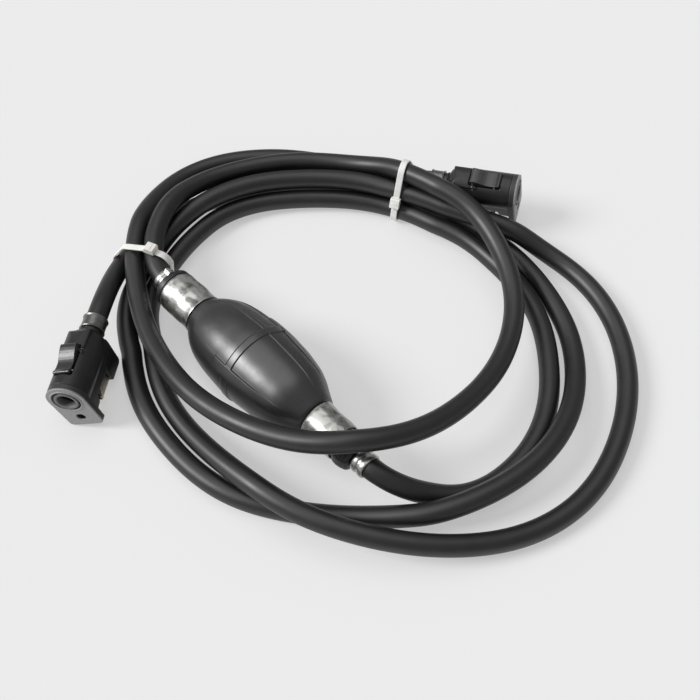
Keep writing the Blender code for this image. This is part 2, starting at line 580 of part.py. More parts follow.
# ------------------------------------------------------------------ connectors
def connector(which, rot, pos, ear):
    base = empty(which + "_connector", rot, pos)
    n = lambda s: f"{which}_{s}"

    body = lathe(n("connector_body"), [(-44.6, 4.3), (-44.6, 6.6), (-43.8, 6.9), (-43.3, 8.6), (-41.0, 9.7), (-36, 10.8), (-29, 11.3), (-4.3, 11.3), (-4.3, 7.0),
                                       (-18, 7.0), (-18, 5.6), (-33, 5.6), (-33, 2.2), (-38.9, 2.2), (-38.9, 4.3)], 24)
    hump = prism("hump", [(-42.0, 6.2), (-41.2, 8.8), (-38.4, 10.3), (-33, 10.9), (-30.2, 10.9), (-29.4, 10.9), (-25.0, 10.8), (-25.0, 6.2)], "y", -7.3, 7.3)
    hood = prism("hood", [(-42.9, -3), (-42.9, -20.6), (-41.2, -22.4), (-28.7, -22.4), (-28.7, -12.4), (-11.6, -12.4), (-10.4, -16.4), (-4.3, -17.6), (-4.3, -3)], "y", -12, 12)
    combine(hood, prism("taper", [(-9.4, 0), (-9.4, -6), (-7.6, -23), (7.6, -23), (9.4, -6), (9.4, 0)], "x", -50, 0), "INTERSECT")
    add(body, hump, hood)
    groove = [(5, -24), (5, -10.6), (8.5, -7.4), (9.7, -2.1), (9.7, 0.3), (9.1, 3.9), (6.4, 8.6)]
    cut(body, block("pocket", (-30.1, -10.4), (-5.6, 5.6), (7.8, 20)),
        prism("groove", groove + [(-y, z) for y, z in reversed(groove)], "x", -15.1, -13.1),
        rod("pin_way", 2.9, -13.5, -3, 16, at(0, 0, PIN_Z)),
        rod("bore", 6.98, -17.9, -3, 24), rod("chamber", 5.55, -32.9, -17, 24), rod("way", 2.15, -39.4, -32, 24), rod("root", 4.25, -48, -39.0, 24),
        rod("hole", 1.06, -9, 9, 16, at(*PIVOT) @ ALONG_Y))
    seat(tidy(body), base, PLASTIC)

    edge = [(PLATE_R * math.cos(f), PLATE_R * math.sin(f)) for f in np.linspace(0, math.pi, 15)]
    for s, start in ((-1, math.pi), (1, 1.5 * math.pi)):
        edge += [(s * (FOOT_HALF - 3) + 3 * math.cos(f), -PLATE_FOOT + 3 + 3 * math.sin(f)) for f in np.linspace(start, start + math.pi / 2, 5)]
    plate = prism(n("face_plate"), edge, "x", -PLATE_T, 0)
    cut(plate, rod("bore", 7.05, -9, 5, 24), rod("pin_hole", 2.8, -9, 5, 16, at(0, 0, PIN_Z)))
    seat(tidy(plate), base, GREY)

    seat(lathe(n("bore_insert"), [(-17.7, 6.9), (0.5, 6.9), (0.5, SOCKET_R), (-3.8, SOCKET_R), (-3.8, 6.4), (-6.2, 6.4), (-6.2, SOCKET_R), (-14.5, SOCKET_R), (-15.3, 3.3), (-17.7, 3.3)], 24), base, PLASTIC)
    seat(lathe(n("o_ring"), [(-5.0 + 0.78 * math.cos(f), 5.55 + 0.78 * math.sin(f)) for f in np.linspace(0, 2 * math.pi, 7)[:-1]], 24), base, SEAL)
    seat(lathe(n("valve_poppet"), [(-11.5, 0), (-11.5, 1.1), (-12.2, 1.7), (-15.8, 1.7), (-17.0, 2.6), (-17.95, 2.6), (-17.95, 4.8), (-20.2, 4.8), (-20.2, 1.5), (-25, 1.5), (-25, 0)], 16, closed=False), base, GREY, (-11.5, 0, 0))
    seat(coil(n("valve_spring"), -20.8, -32.5, 3.4, 0.4, 4.5), base, SPRING)
    seat(lathe(n("hose_barb"), [(-39.2, 1.8), (-39.2, 4.1), (-44.75, 4.1), (-44.75, 6.5), (-45.7, 6.5), (-45.7, 2.7), (-52.3, 2.7), (-52.4, 3.1), (-54.7, 2.7), (-54.8, 3.1), (-57.3, 2.5), (-57.3, 1.8)], 20), base, PLASTIC)

    lever = prism(n("release_lever"), [(-29.6, 8.9), (-28.6, 8.1), (-26.2, 8.1), (-23.6, 8.9), (-15.2, 10.25), (-10.9, 10.4), (-10.7, 11.4), (-11.2, 12.2), (-12.2, 12.1), (-13.4, 11.5),
                                       (-16, 11.1), (-18.6, 11.2), (-21.0, 11.9), (-23.6, 13.0), (-25.2, 13.5), (-26.8, 13.6), (-28.4, 13.2), (-29.6, 12.2)], "y", -5.1, 5.1)
    cut(lever, rod("hole", 1.06, -9, 9, 16, at(*PIVOT) @ ALONG_Y))
    seat(tidy(lever), base, PLASTIC, PIVOT)
    seat(rod(n("lever_pin"), 1.0, -6.9, 6.9, 16, at(*PIVOT) @ ALONG_Y), base, SPRING, PIVOT)
    spring = coil(n("lever_spring"), 8.2, 9.3, 2.0, 0.3, 2)
    spring.data.transform(at(-18.5, 0, 0) @ ALONG_Z)
    seat(spring, base, SPRING)

    half = [(4.6, -20.5), (4.6, -8.4), (8.2, -5.2), (9.4, 0), (8.8, 3.5), (6.0, 7.9), (3.6, 10.0)]
    clip = prism(n("latch_clip"), half + [(-y, z) for y, z in reversed(half)], "x", -14.6, -13.6)
    window = [(7.35 * math.cos(f), 7.35 * math.sin(f) + 1.65) for f in np.linspace(0, math.pi, 13)] + [(7.35 * math.cos(f), 7.35 * math.sin(f)) for f in np.linspace(math.pi, 2 * math.pi, 13)]
    cut(clip, prism("window", window, "x", -18, -10), rod("keyhole", 3.3, -18, -10, 16, at(0, 0, PIN_Z + 0.6)))
    wing = [(-28, -20.3), (-28, -13.2), (-19.8, -13.2), (-15.2, -18.4), (-14.8, -20.3)]
    add(clip, block("tongue", (-28, -14.1), (-6.2, 6.2), (-20.5, -19.7)), prism("wing", wing, "y", 5.4, 6.2), prism("wing", wing, "y", -6.2, -5.4))
    seat(tidy(clip), base, LATCH, (-14.1, 0, -15))

    seat(band(n("hose_clamp"), -56.4, -47.4, ear), base, BAND)
    return base


connector("engine", ENGINE_ROT, ENGINE_POS, under(ENGINE_ROT))
connector("tank", TANK_ROT, TANK_POS, under(TANK_ROT))

# ------------------------------------------------------------------ hoses and ties
engine_line, tank_line = settle()
engine_points = hose("engine_hose", engine_line, ((ENGINE_END, -ENGINE_ROT[:, 0]), (OUTLET_END, BULB_DIR)), HOSE)
tank_points = hose("tank_hose", tank_line, ((TANK_END, -TANK_ROT[:, 0]), (INLET_END, -BULB_DIR)), HOSE)
for tie_name, (tie_centre, tie_az, tie_head) in TIES.items():
    tie(tie_name, (engine_line, tank_line, engine_points, tank_points), tie_centre, tie_az, tie_head, NYLON)
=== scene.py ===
"""Looks of the siphon bulb pump: a rubber primer bulb between two fuel hoses that
end in quick connectors, wound in a loose loop and held by two nylon ties.
Tables are in millimetres; meshes are made in metres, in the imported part's frame."""

import json
import math

import bmesh
import bpy
import numpy as np
from mathutils import Matrix, Vector, noise

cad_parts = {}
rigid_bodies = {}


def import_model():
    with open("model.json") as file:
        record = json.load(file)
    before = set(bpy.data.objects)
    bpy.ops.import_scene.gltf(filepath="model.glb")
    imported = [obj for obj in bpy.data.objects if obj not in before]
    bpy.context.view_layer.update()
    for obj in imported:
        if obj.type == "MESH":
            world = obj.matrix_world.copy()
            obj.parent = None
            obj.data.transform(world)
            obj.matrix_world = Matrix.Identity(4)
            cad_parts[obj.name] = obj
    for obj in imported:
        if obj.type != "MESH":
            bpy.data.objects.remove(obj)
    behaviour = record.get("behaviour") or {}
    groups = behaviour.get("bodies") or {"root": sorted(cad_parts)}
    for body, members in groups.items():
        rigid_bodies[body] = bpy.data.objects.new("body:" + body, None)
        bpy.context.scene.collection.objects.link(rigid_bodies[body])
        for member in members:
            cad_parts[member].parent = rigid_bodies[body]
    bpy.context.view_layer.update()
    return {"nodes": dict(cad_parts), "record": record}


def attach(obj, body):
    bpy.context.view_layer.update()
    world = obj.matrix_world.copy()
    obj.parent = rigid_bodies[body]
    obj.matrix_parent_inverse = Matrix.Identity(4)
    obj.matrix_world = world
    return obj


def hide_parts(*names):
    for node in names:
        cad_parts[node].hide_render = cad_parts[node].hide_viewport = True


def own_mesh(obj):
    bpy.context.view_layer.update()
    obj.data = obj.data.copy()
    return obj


for o in list(bpy.data.objects):
    bpy.data.objects.remove(o, do_unlink=True)

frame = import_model()
MM = 0.001
SCENE = bpy.context.scene

# ------------------------------------------------------------------ sizes
HOSE_R = 6.0
SETTLE_STEP = 6.0
SETTLE_GAP = 13.3
FLOOR_Z = 6.15
BULB_R = 24.5
BULB_MID_Z = 24.45
BULB_AZIMUTH = -46.5
BULB_TILT = 1.2
COLLAR_FACE = 79.3
BARB_TIP = 91.0
CLAMP_FROM, CLAMP_TO = 80.2, 88.2
INLET_SLEEVE, OUTLET_SLEEVE = (49.8, 75.4), (47.5, 67.9)
ENGINE_FACE, ENGINE_TURN = (-103.2, -23.4, 25.6), (-97.4, 1.7, 18.5)
TANK_FACE, TANK_TURN = (156.2, 128.95, 28.0), (-17.5, 6.2, 15.0)
PLATE_T, PLATE_R, PLATE_FOOT, FOOT_HALF = 4.0, 11.3, 22.8, 10.7
PIN_Z = -15.6
SOCKET_R = 5.2
PIVOT = (-27.6, 0.0, 9.4)
EAR_WAY = (0.0, 0.57, -0.82)
HOSE_END = -45.9

# ------------------------------------------------------------------ routes
ENGINE_ROUTE = [
    (-90, 73, 13), (-83, 97, 6), (-69, 120, 6), (-50, 134, 6), (-28, 148, 6), (-4, 156, 6), (19, 159, 6), (47, 158, 6),
    (76, 153, 6), (89, 148, 6), (115, 136, 6), (136, 119, 6), (154, 98, 6), (161, 86, 6), (171, 67, 6), (180, 46, 6),
    (183, 29, 7), (182, 8, 9), (177, -16, 13), (161, -46, 18), (138, -67, 18.8), (108, -81, 18), (78, -84, 12), (53, -83, 7),
    (32, -81, 6), (2, -74, 6), (-25, -59, 6), (-48, -37, 6), (-61, -18, 6), (-72, 8, 6), (-80, 34, 6), (-81, 62, 6),
    (-72, 91, 6), (-60, 110, 11), (-53, 120, 14), (-41, 132, 16), (-25, 141, 16.4), (-6, 148, 16.4), (20, 151, 16.4), (46, 151, 16.4),
    (72, 146, 16.8), (85, 141, 17.3), (104, 133, 18), (123, 123, 17.5), (138, 114.8, 14.5), (152, 108, 10), (165, 102.3, 6.8), (176, 95.5, 6),
    (187, 87.5, 6), (206, 57, 6), (213, 18, 6), (208, -17, 6), (195, -48, 6), (175, -74, 6), (151, -90, 7), (129, -98, 9.5),
    (98, -102, 14), (64, -99, 18), (25, -85, 18.5), (3, -70, 16), (-21, -50, 12), (-41, -27, 8.5), (-57, -1, 6), (-65, 25, 6),
    (-69, 60, 6), (-61, 86, 6), (-53, 108, 6), (-41, 122, 6), (-21, 135, 6), (-1, 142, 6), (20, 144, 6), (46, 144, 6),
    (73, 140, 6), (85, 136, 6), (107, 125, 6), (126, 110, 6), (144, 90, 6), (163, 58, 6), (168, 23, 6), (165, -11, 6),
    (152, -41, 6), (130, -63, 6), (117, -71, 8.5), (106, -76, 12.3), (95, -78.5, 17.2), (84, -78, 21.8), (74, -74, 24.7)]
TANK_ROUTE = [
    (90, 156, 10.5), (79, 161.5, 9), (60, 170, 6.5), (39, 176, 6), (18, 181, 6), (-2, 182, 6), (-21, 180, 6), (-40, 175, 6),
    (-58, 163, 7), (-68, 148, 10), (-77, 123, 14), (-79, 100, 17.5), (-78, 81, 17.5), (-73, 54, 19), (-64, 27, 21), (-49, 0, 25),
    (-30, -24, 30), (-2, -44, 35), (28, -56, 39), (58, -57, 41), (85, -50, 38.5), (108, -34, 33), (132, -5, 25), (144, 21, 22.5),
    (149, 44, 23), (148, 64, 25), (139, 94, 27.5), (130, 110, 29), (122, 121, 30.5), (110, 130.5, 30.3), (98, 141.5, 25.5), (88, 148.8, 20.5),
    (78, 155, 18.5), (65, 161.3, 17), (39, 167, 17), (20, 168, 17), (1, 166, 17), (-25, 158, 17), (-40, 151, 17), (-52, 135, 18),
    (-60, 119, 19.4), (-67, 101, 21.6), (-69, 86, 23)]
LAY = np.array([-2.4, 0.5, 0.0])
SLIP = (0.0, -0.57, 0.82)
TIES = {"left_tie": ((-76.5, 83.1), 68.0, 11.0), "right_tie": ((87.9, 147.0), -20.0, 17.9)}


# ------------------------------------------------------------------ helpers
def unit(v):
    v = np.asarray(v, float)
    return v / np.linalg.norm(v)


def axes(azimuth, pitch, roll):
    a, p, r = (math.radians(k) for k in (azimuth, pitch, roll))
    x = np.array([math.cos(a) * math.cos(p), math.sin(a) * math.cos(p), math.sin(p)])
    y = unit(np.cross([0, 0, 1], x))
    z = np.cross(x, y)
    return np.array([x, math.cos(r) * y + math.sin(r) * z, -math.sin(r) * y + math.cos(r) * z]).T


BULB_ROT = axes(BULB_AZIMUTH, BULB_TILT, 0)
BULB_DIR = BULB_ROT[:, 0]
BULB_MID = np.array([0, 0, BULB_MID_Z])
ENGINE_ROT, TANK_ROT = axes(*ENGINE_TURN), axes(*TANK_TURN)
ENGINE_POS, TANK_POS = np.array(ENGINE_FACE), np.array(TANK_FACE)
ENGINE_END = ENGINE_POS + ENGINE_ROT @ [HOSE_END, 0, 0]
TANK_END = TANK_POS + TANK_ROT @ [HOSE_END, 0, 0]
OUTLET_END = BULB_MID + BULB_DIR * (COLLAR_FACE + 0.3)
INLET_END = BULB_MID - BULB_DIR * (COLLAR_FACE + 0.3)


def pose_of(rot, pos):
    return Matrix([list(rot[i]) + [pos[i] * MM] for i in range(3)] + [[0, 0, 0, 1]])


BULB_POSE = pose_of(BULB_ROT, BULB_MID)
ENGINE_POSE = pose_of(ENGINE_ROT, ENGINE_POS)
TANK_POSE = pose_of(TANK_ROT, TANK_POS)


# ------------------------------------------------------------------ the lie of the hoses
def even(p, step):
    s = np.concatenate([[0], np.cumsum(np.linalg.norm(np.diff(p, axis=0), axis=1))])
    q = np.linspace(0, s[-1], int(round(s[-1] / step)) + 1)
    return np.stack([np.interp(q, s, p[:, k]) for k in range(3)], 1)


def smooth_curve(points, step):
    p = np.asarray(points, float)
    t = np.concatenate([[0], np.cumsum(np.linalg.norm(np.diff(p, axis=0), axis=1) ** 0.5)])
    n, h = len(p), np.diff(t)
    m, r = np.zeros((n, n)), np.zeros((n, 3))
    m[0, 0] = m[-1, -1] = 1
    for i in range(1, n - 1):
        m[i, i - 1], m[i, i], m[i, i + 1] = h[i - 1], 2 * (h[i - 1] + h[i]), h[i]
        r[i] = 6 * ((p[i + 1] - p[i]) / h[i] - (p[i] - p[i - 1]) / h[i - 1])
    c = np.linalg.solve(m, r)
    out = []
    for i in range(n - 1):
        s = np.linspace(0, 1, 60, endpoint=False)[:, None]
        out.append(p[i] * (1 - s) + p[i + 1] * s + ((1 - s) ** 3 - (1 - s)) * c[i] * h[i] ** 2 / 6 + (s ** 3 - s) * c[i + 1] * h[i] ** 2 / 6)
    return even(np.concatenate(out + [p[-1:]]), step)


def keep_clear():
    balls = []
    for t in np.arange(-90, 90.1, 3):
        r = np.interp(abs(t), [0, 12, 24, 34, 42, 47, 50, 69, 79, 80, 90], [24.7, 24.3, 22.9, 20.2, 16.4, 14.0, 13.3, 12.9, 12.4, 8, 8])
        balls.append((*(BULB_MID + BULB_DIR * t), r, 0))
    for which, pos, rot in ((1, ENGINE_POS, ENGINE_ROT), (2, TANK_POS, TANK_ROT)):
        for x in np.arange(-62, -0.9, 3):
            balls.append((*(pos + rot @ [x, 0, 0]), 7.4 if x < -43.5 else 11.4, which))
            for y, z, r, end in ((4, -9, 6.2, 0), (-4, -9, 6.2, 0), (3.6, -17.2, 5.7, 0), (-3.6, -17.2, 5.7, 0), (4.4, 6.8, 6.0, -26), (-4.4, 6.8, 6.0, -26)):
                if -45 < x < end:
                    balls.append((*(pos + rot @ [x, y, z]), r, which))
    return np.array(balls)


def settle(rounds=500):
    """Lays both hoses along their routes and lets them push each other, the floor and the fittings away."""
    step, gap = SETTLE_STEP, SETTLE_GAP
    e_out, t_out = -ENGINE_ROT[:, 0], -TANK_ROT[:, 0]
    one = smooth_curve([ENGINE_END, ENGINE_END + e_out * 18, *(np.array(ENGINE_ROUTE) + LAY), OUTLET_END + BULB_DIR * 9, OUTLET_END], step)
    two = smooth_curve([TANK_END, TANK_END + t_out * 18, *(np.array(TANK_ROUTE) + LAY), INLET_END - BULB_DIR * 9, INLET_END], step)
    na = len(one)
    p = np.concatenate([one, two])
    n, goal = len(p), p.copy()
    idx = np.arange(n)
    apart = np.triu(((idx >= na)[:, None] != (idx >= na)[None]) | (abs(idx[:, None] - idx[None]) * step > 40), 1)
    free = np.ones(n, bool)
    for i, way, end, d, m in ((0, 1, ENGINE_END, e_out, 3), (na - 1, -1, OUTLET_END, BULB_DIR, 1), (na, 1, TANK_END, t_out, 3), (n - 1, -1, INLET_END, -BULB_DIR, 1)):
        for k in range(m + 1):
            p[i + way * k] = end + d * step * k
            free[i + way * k] = False
    balls = keep_clear()
    kc, kr, kn = balls[:, :3], balls[:, 3] + HOSE_R + 0.45, balls[:, 4]
    skip = np.zeros((n, len(balls)), bool)
    m, e = int(70 / step), int(60 / step)
    outlet_side = (kc - BULB_MID) @ BULB_DIR
    skip[:m] |= kn == 1
    skip[na:na + m] |= kn == 2
    skip[na - e:na] |= (kn == 0) & (outlet_side > 40)
    skip[n - e:] |= (kn == 0) & (outlet_side < -40)
    weight, runs = np.ones((n, 1)), ((0, na), (na, n))
    for s, e in runs:
        k = np.arange(e - s) * step
        weight[s:e, 0] = np.clip((np.minimum(k, k[::-1]) - 14) / 90, 0, 1)
    slip = unit(SLIP)
    hold = free[:, None]
    for it in range(rounds):
        f = it / rounds
        if it % 12 == 0:
            d = p[:, None] - p[None]
            pi, pj = np.nonzero(apart & ((d * d).sum(-1) < (gap + 7) ** 2))
            ki, kj = np.nonzero(~skip & (np.linalg.norm(p[:, None] - kc[None], axis=2) < kr[None] + 7))
        d = goal - p
        ride = (d @ slip)[:, None] * slip
        mv = (0.06 * (1 - 0.6 * f) * (d - ride) + 0.006 * ride) * weight
        mv[:, 2] -= 0.02 * (1 - f) * weight[:, 0]
        p += mv * hold
        for _ in range(6):
            for s, e in runs:
                q = p[s:e]
                b = np.zeros_like(q)
                b[2:-2] = q[:-4] - 4 * q[1:-3] + 6 * q[2:-2] - 4 * q[3:-1] + q[4:]
                p[s:e] -= 0.058 * b * hold[s:e]
        for _ in range(2):
            d = p[pi] - p[pj]
            r = np.linalg.norm(d, axis=1)
            w = r < gap
            i, j, v = pi[w], pj[w], d[w] / r[w][:, None] * ((gap - r[w]) * 0.5)[:, None]
            acc, cnt = np.zeros_like(p), np.zeros(n)
            np.add.at(acc, i, v * np.where(free[j], 1, 2)[:, None])
            np.add.at(acc, j, -v * np.where(free[i], 1, 2)[:, None])
            np.add.at(cnt, i, 1)
            np.add.at(cnt, j, 1)
            p += hold * acc / np.maximum(1, cnt * 0.6)[:, None]
            d = p[ki] - kc[kj]
            r = np.linalg.norm(d, axis=1)
            w = r < kr[kj]
            acc, cnt = np.zeros_like(p), np.zeros(n)
            np.add.at(acc, ki[w], d[w] / r[w][:, None] * (kr[kj] - r)[w][:, None])
            np.add.at(cnt, ki[w], 1)
            p += hold * acc / np.maximum(1, cnt * 0.5)[:, None]
            p[:, 2] = np.where(free, np.maximum(p[:, 2], FLOOR_Z), p[:, 2])
    return p[:na], p[na:]


# ------------------------------------------------------------------ materials
class Nodes:
    """A small writer of shader nodes for one material."""

    def __init__(self, name):
        self.mat = bpy.data.materials.new(name)
        self.mat.use_nodes = True
        self.tree = self.mat.node_tree
        self.shader = self.tree.nodes["Principled BSDF"]
        self.coord = self.tree.nodes.new("ShaderNodeTexCoord").outputs["Object"]

    def set(self, **values):
        for k, v in values.items():
            self.shader.inputs[k.replace("_", " ")].default_value = v
        return self

    def stretched(self, scale):
        m = self.tree.nodes.new("ShaderNodeMapping")
        m.inputs["Scale"].default_value = scale
        self.tree.links.new(self.coord, m.inputs["Vector"])
        return m.outputs["Vector"]

    def noise(self, scale, detail=4.0, rough=0.55, distortion=0.0, vector=None):
        n = self.tree.nodes.new("ShaderNodeTexNoise")
        n.inputs["Scale"].default_value = scale
        n.inputs["Detail"].default_value = detail
        n.inputs["Roughness"].default_value = rough
        n.inputs["Distortion"].default_value = distortion
        self.tree.links.new(vector or self.coord, n.inputs["Vector"])
        return n.outputs["Fac"]

    def cells(self, scale, vector=None, feature="F1"):
        n = self.tree.nodes.new("ShaderNodeTexVoronoi")
        n.feature = feature
        n.inputs["Scale"].default_value = scale
        self.tree.links.new(vector or self.coord, n.inputs["Vector"])
        return n.outputs["Distance"]

    def ramp(self, value, stops):
        n = self.tree.nodes.new("ShaderNodeValToRGB")
        e = n.color_ramp.elements
        while len(e) < len(stops):
            e.new(0.5)
        for k, (p, c) in zip(e, stops):
            k.position = p
            k.color = (c, c, c, 1) if isinstance(c, (int, float)) else (*c, 1)
        self.tree.links.new(value, n.inputs["Fac"])
        return n.outputs["Color"]

    def range(self, value, low, high, start=0.3, end=0.7):
        n = self.tree.nodes.new("ShaderNodeMapRange")
        n.inputs["From Min"].default_value = start
        n.inputs["From Max"].default_value = end
        n.inputs["To Min"].default_value = low
        n.inputs["To Max"].default_value = high
        self.tree.links.new(value, n.inputs["Value"])
        return n.outputs["Result"]

    def math(self, how, a, b):
        n = self.tree.nodes.new("ShaderNodeMath")
        n.operation = how
        for i, v in enumerate((a, b)):
            if isinstance(v, (int, float)):
                n.inputs[i].default_value = v
            else:
                self.tree.links.new(v, n.inputs[i])
        return n.outputs["Value"]

    def mix(self, fac, a, b, how="MIX"):
        n = self.tree.nodes.new("ShaderNodeMix")
        n.data_type = "RGBA"
        n.blend_type = how
        for i, v in ((0, fac), (6, a), (7, b)):
            if hasattr(v, "is_linked") or hasattr(v, "links"):
                self.tree.links.new(v, n.inputs[i])
            elif i == 0:
                n.inputs[i].default_value = v
            else:
                n.inputs[i].default_value = (*v, 1)
        return n.outputs[2]

    def to(self, name, value):
        self.tree.links.new(value, self.shader.inputs[name])
        return self

    def bump(self, *layers):
        """Layers of (height, strength, distance in mm)."""
        last = None
        for height, strength, distance in layers:
            n = self.tree.nodes.new("ShaderNodeBump")
            n.inputs["Strength"].default_value = strength
            n.inputs["Distance"].default_value = distance * MM
            self.tree.links.new(height, n.inputs["Height"])
            if last:
                self.tree.links.new(last, n.inputs["Normal"])
            last = n.outputs["Normal"]
        self.tree.links.new(last, self.shader.inputs["Normal"])
        return self


def hose_rubber():
    n = Nodes("hose_rubber_look")
    n.to("Base Color", n.ramp(n.noise(140, 4), [(0.3, (0.0045, 0.0045, 0.0047)), (0.7, (0.0070, 0.0070, 0.0072))]))
    n.to("Roughness", n.range(n.noise(60, 3), 0.42, 0.50))
    n.bump((n.noise(190, 2), 0.25, 0.12), (n.noise(1500, 3), 0.35, 0.03))
    n.set(Specular_IOR_Level=0.75)
    return n.mat


def bulb_rubber():
    n = Nodes("bulb_rubber_look")
    n.to("Base Color", n.ramp(n.noise(120, 5), [(0.3, (0.010, 0.010, 0.0103)), (0.7, (0.015, 0.015, 0.0153))]))
    n.to("Roughness", n.range(n.noise(260, 4), 0.34, 0.42))
    n.bump((n.noise(420, 4), 0.25, 0.06), (n.noise(2600, 2), 0.4, 0.025))
    n.set(Specular_IOR_Level=1.0, IOR=1.55)
    return n.mat


def plate_grey():
    """Grey on the face, black on the rim behind it."""
    n = Nodes("grey_plastic_look")
    x = n.tree.nodes.new("ShaderNodeSeparateXYZ")
    n.tree.links.new(n.coord, x.inputs["Vector"])
    face = n.range(x.outputs["X"], 0.0, 1.0, -0.0011, -0.0005)
    grey = n.ramp(n.noise(900, 3), [(0.3, (0.25, 0.25, 0.25)), (0.7, (0.35, 0.35, 0.35))])
    n.to("Base Color", n.mix(face, (0.03, 0.03, 0.03), grey))
    n.to("Roughness", n.range(n.noise(300, 4), 0.42, 0.52))
    n.bump((n.noise(1600, 3), 0.5, 0.05))
    return n.mat


def moulded(name, dark, light, rough_low, rough_high, grain=2200, grain_depth=0.03, specular=0.5):
    n = Nodes(name)
    n.to("Base Color", n.ramp(n.noise(160, 4), [(0.3, dark), (0.7, light)]))
    n.to("Roughness", n.range(n.noise(300, 4), rough_low, rough_high))
    n.bump((n.noise(grain, 3), 0.4, grain_depth), (n.noise(140, 2), 0.2, 0.08))
    n.set(Specular_IOR_Level=specular)
    return n.mat


def metal(name, dark, light, rough_low, rough_high, scratch=(300, 300, 300), depth=0.02):
    n = Nodes(name)
    run = n.stretched(scratch)
    n.to("Base Color", n.ramp(n.noise(220, 4), [(0.3, dark), (0.7, light)]))
    n.to("Roughness", n.range(n.noise(1, 4, vector=run), rough_low, rough_high))
    n.bump((n.noise(1, 3, vector=run), 0.3, depth))
    n.set(Metallic=1.0)
    return n.mat


def tin():
    """Thin plated sleeve, dull in patches."""
    n = Nodes("crimped_steel_look")
    patch = n.noise(150, 4, 0.5, 0.7)
    n.to("Base Color", n.ramp(patch, [(0.36, (0.20, 0.20, 0.193)), (0.46, (0.36, 0.36, 0.347)), (0.58, (0.56, 0.556, 0.538))]))
    n.to("Roughness", n.range(n.noise(240, 3), 0.34, 0.46))
    n.bump((n.noise(170, 3, 0.5, 0.4), 0.55, 0.5), (n.noise(900, 2), 0.2, 0.03))
    n.set(Metallic=1.0)
    return n.mat


def nylon():
    n = Nodes("tie_nylon_look")
    n.to("Base Color", n.ramp(n.noise(150, 4), [(0.3, (0.74, 0.74, 0.71)), (0.7, (0.84, 0.84, 0.81))]))
    n.to("Roughness", n.range(n.noise(500, 3), 0.38, 0.52))
    n.bump((n.noise(900, 3), 0.25, 0.03))
    n.set(Subsurface_Weight=0.15, Subsurface_Scale=0.002)
    return n.mat


LOOK = {
    "hose_rubber": hose_rubber(),
    "bulb_rubber": bulb_rubber(),
    "black_plastic": moulded("black_plastic_look", (0.011, 0.011, 0.0113), (0.017, 0.017, 0.0173), 0.36, 0.46),
    "grey_plastic": plate_grey(),
    "seal_rubber": moulded("seal_rubber_look", (0.008, 0.008, 0.008), (0.014, 0.014, 0.014), 0.5, 0.6),
    "crimped_steel": tin(),
    "clamp_steel": metal("clamp_steel_look", (0.46, 0.455, 0.445), (0.58, 0.575, 0.56), 0.27, 0.36, depth=0.006),
    "spring_steel": metal("spring_steel_look", (0.42, 0.41, 0.39), (0.54, 0.53, 0.51), 0.25, 0.36),
    "latch_steel": metal("latch_steel_look", (0.46, 0.42, 0.34), (0.62, 0.57, 0.47), 0.25, 0.38),
    "tie_nylon": nylon(),
    # the connector hose bands get a darker metal colour than the bulb clamps: painted shade, standing in for the dark
    # surroundings that their faces reflect
    "band_dark": metal("band_painted_shade_look", (0.19, 0.188, 0.185), (0.27, 0.267, 0.262), 0.30, 0.42, depth=0.008),
    "lever_plastic": moulded("lever_plastic_look", (0.018, 0.018, 0.0185), (0.026, 0.026, 0.0265), 0.26, 0.33, specular=0.8),
    "insert_grey": moulded("insert_grey_look", (0.12, 0.12, 0.12), (0.17, 0.17, 0.17), 0.42, 0.52),
}
SLOT_OF = {s["node"]: s["material_slot"] for s in frame["record"]["subparts"]}
for node, o in frame["nodes"].items():
    o.data.materials.clear()
    o.data.materials.append(LOOK[SLOT_OF[node]])

# ------------------------------------------------------------------ hoses
engine_line, tank_line = settle()


def hose(name, line, ends):
    """One open curve along the settled line, a little swollen where it is pushed over its barbs."""
    pts = smooth_curve(line, 3.0)
    s = np.concatenate([[0], np.cumsum(np.linalg.norm(np.diff(pts, axis=0), axis=1))])
    near = np.minimum(s, s[-1] - s)
    cu = bpy.data.curves.new(name, "CURVE")
    cu.dimensions = "3D"
    cu.bevel_depth = HOSE_R * MM
    cu.bevel_resolution = 8
    cu.use_fill_caps = True
    sp = cu.splines.new("POLY")
    sp.points.add(len(pts) - 1)
    for q, c, d in zip(sp.points, pts, near):
        q.co = (*(c * MM), 1)
        q.radius = 1.0 + 0.02 * (1 - min(1, max(0, (d - 10) / 5)))
    sp.use_smooth = True
    o = bpy.data.objects.new(name, cu)
    SCENE.collection.objects.link(o)
    cu.materials.append(LOOK["hose_rubber"])
    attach(o, "pump")
    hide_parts(name.replace("_run", ""))
    return o, s[-1]


engine_run, engine_length = hose("engine_hose_run", engine_line, None)
tank_run, tank_length = hose("tank_hose_run", tank_line, None)
# ------------------------------------------------------------------ making of pieces
def step(x, a, b):
    """0 before a, 1 after b, smooth between."""
    u = np.clip((np.asarray(x, float) - a) / (b - a), 0, 1)
    return u * u * (3 - 2 * u)


def spline(xs, ys):
    """A natural cubic through the points, as a function."""
    x, y = np.asarray(xs, float), np.asarray(ys, float)
    n, h = len(x), np.diff(x)
    m, r = np.zeros((n, n)), np.zeros(n)
    m[0, 0] = m[-1, -1] = 1
    for i in range(1, n - 1):
        m[i, i - 1], m[i, i], m[i, i + 1] = h[i - 1], 2 * (h[i - 1] + h[i]), h[i]
        r[i] = 6 * ((y[i + 1] - y[i]) / h[i] - (y[i] - y[i - 1]) / h[i - 1])
    c = np.linalg.solve(m, r)

    def at_x(q):
        q = np.asarray(q, float)
        k = np.clip(np.searchsorted(x, q) - 1, 0, n - 2)
        s = (q - x[k]) / h[k]
        return y[k] * (1 - s) + y[k + 1] * s + ((1 - s) ** 3 - (1 - s)) * c[k] * h[k] ** 2 / 6 + (s ** 3 - s) * c[k + 1] * h[k] ** 2 / 6
    return at_x


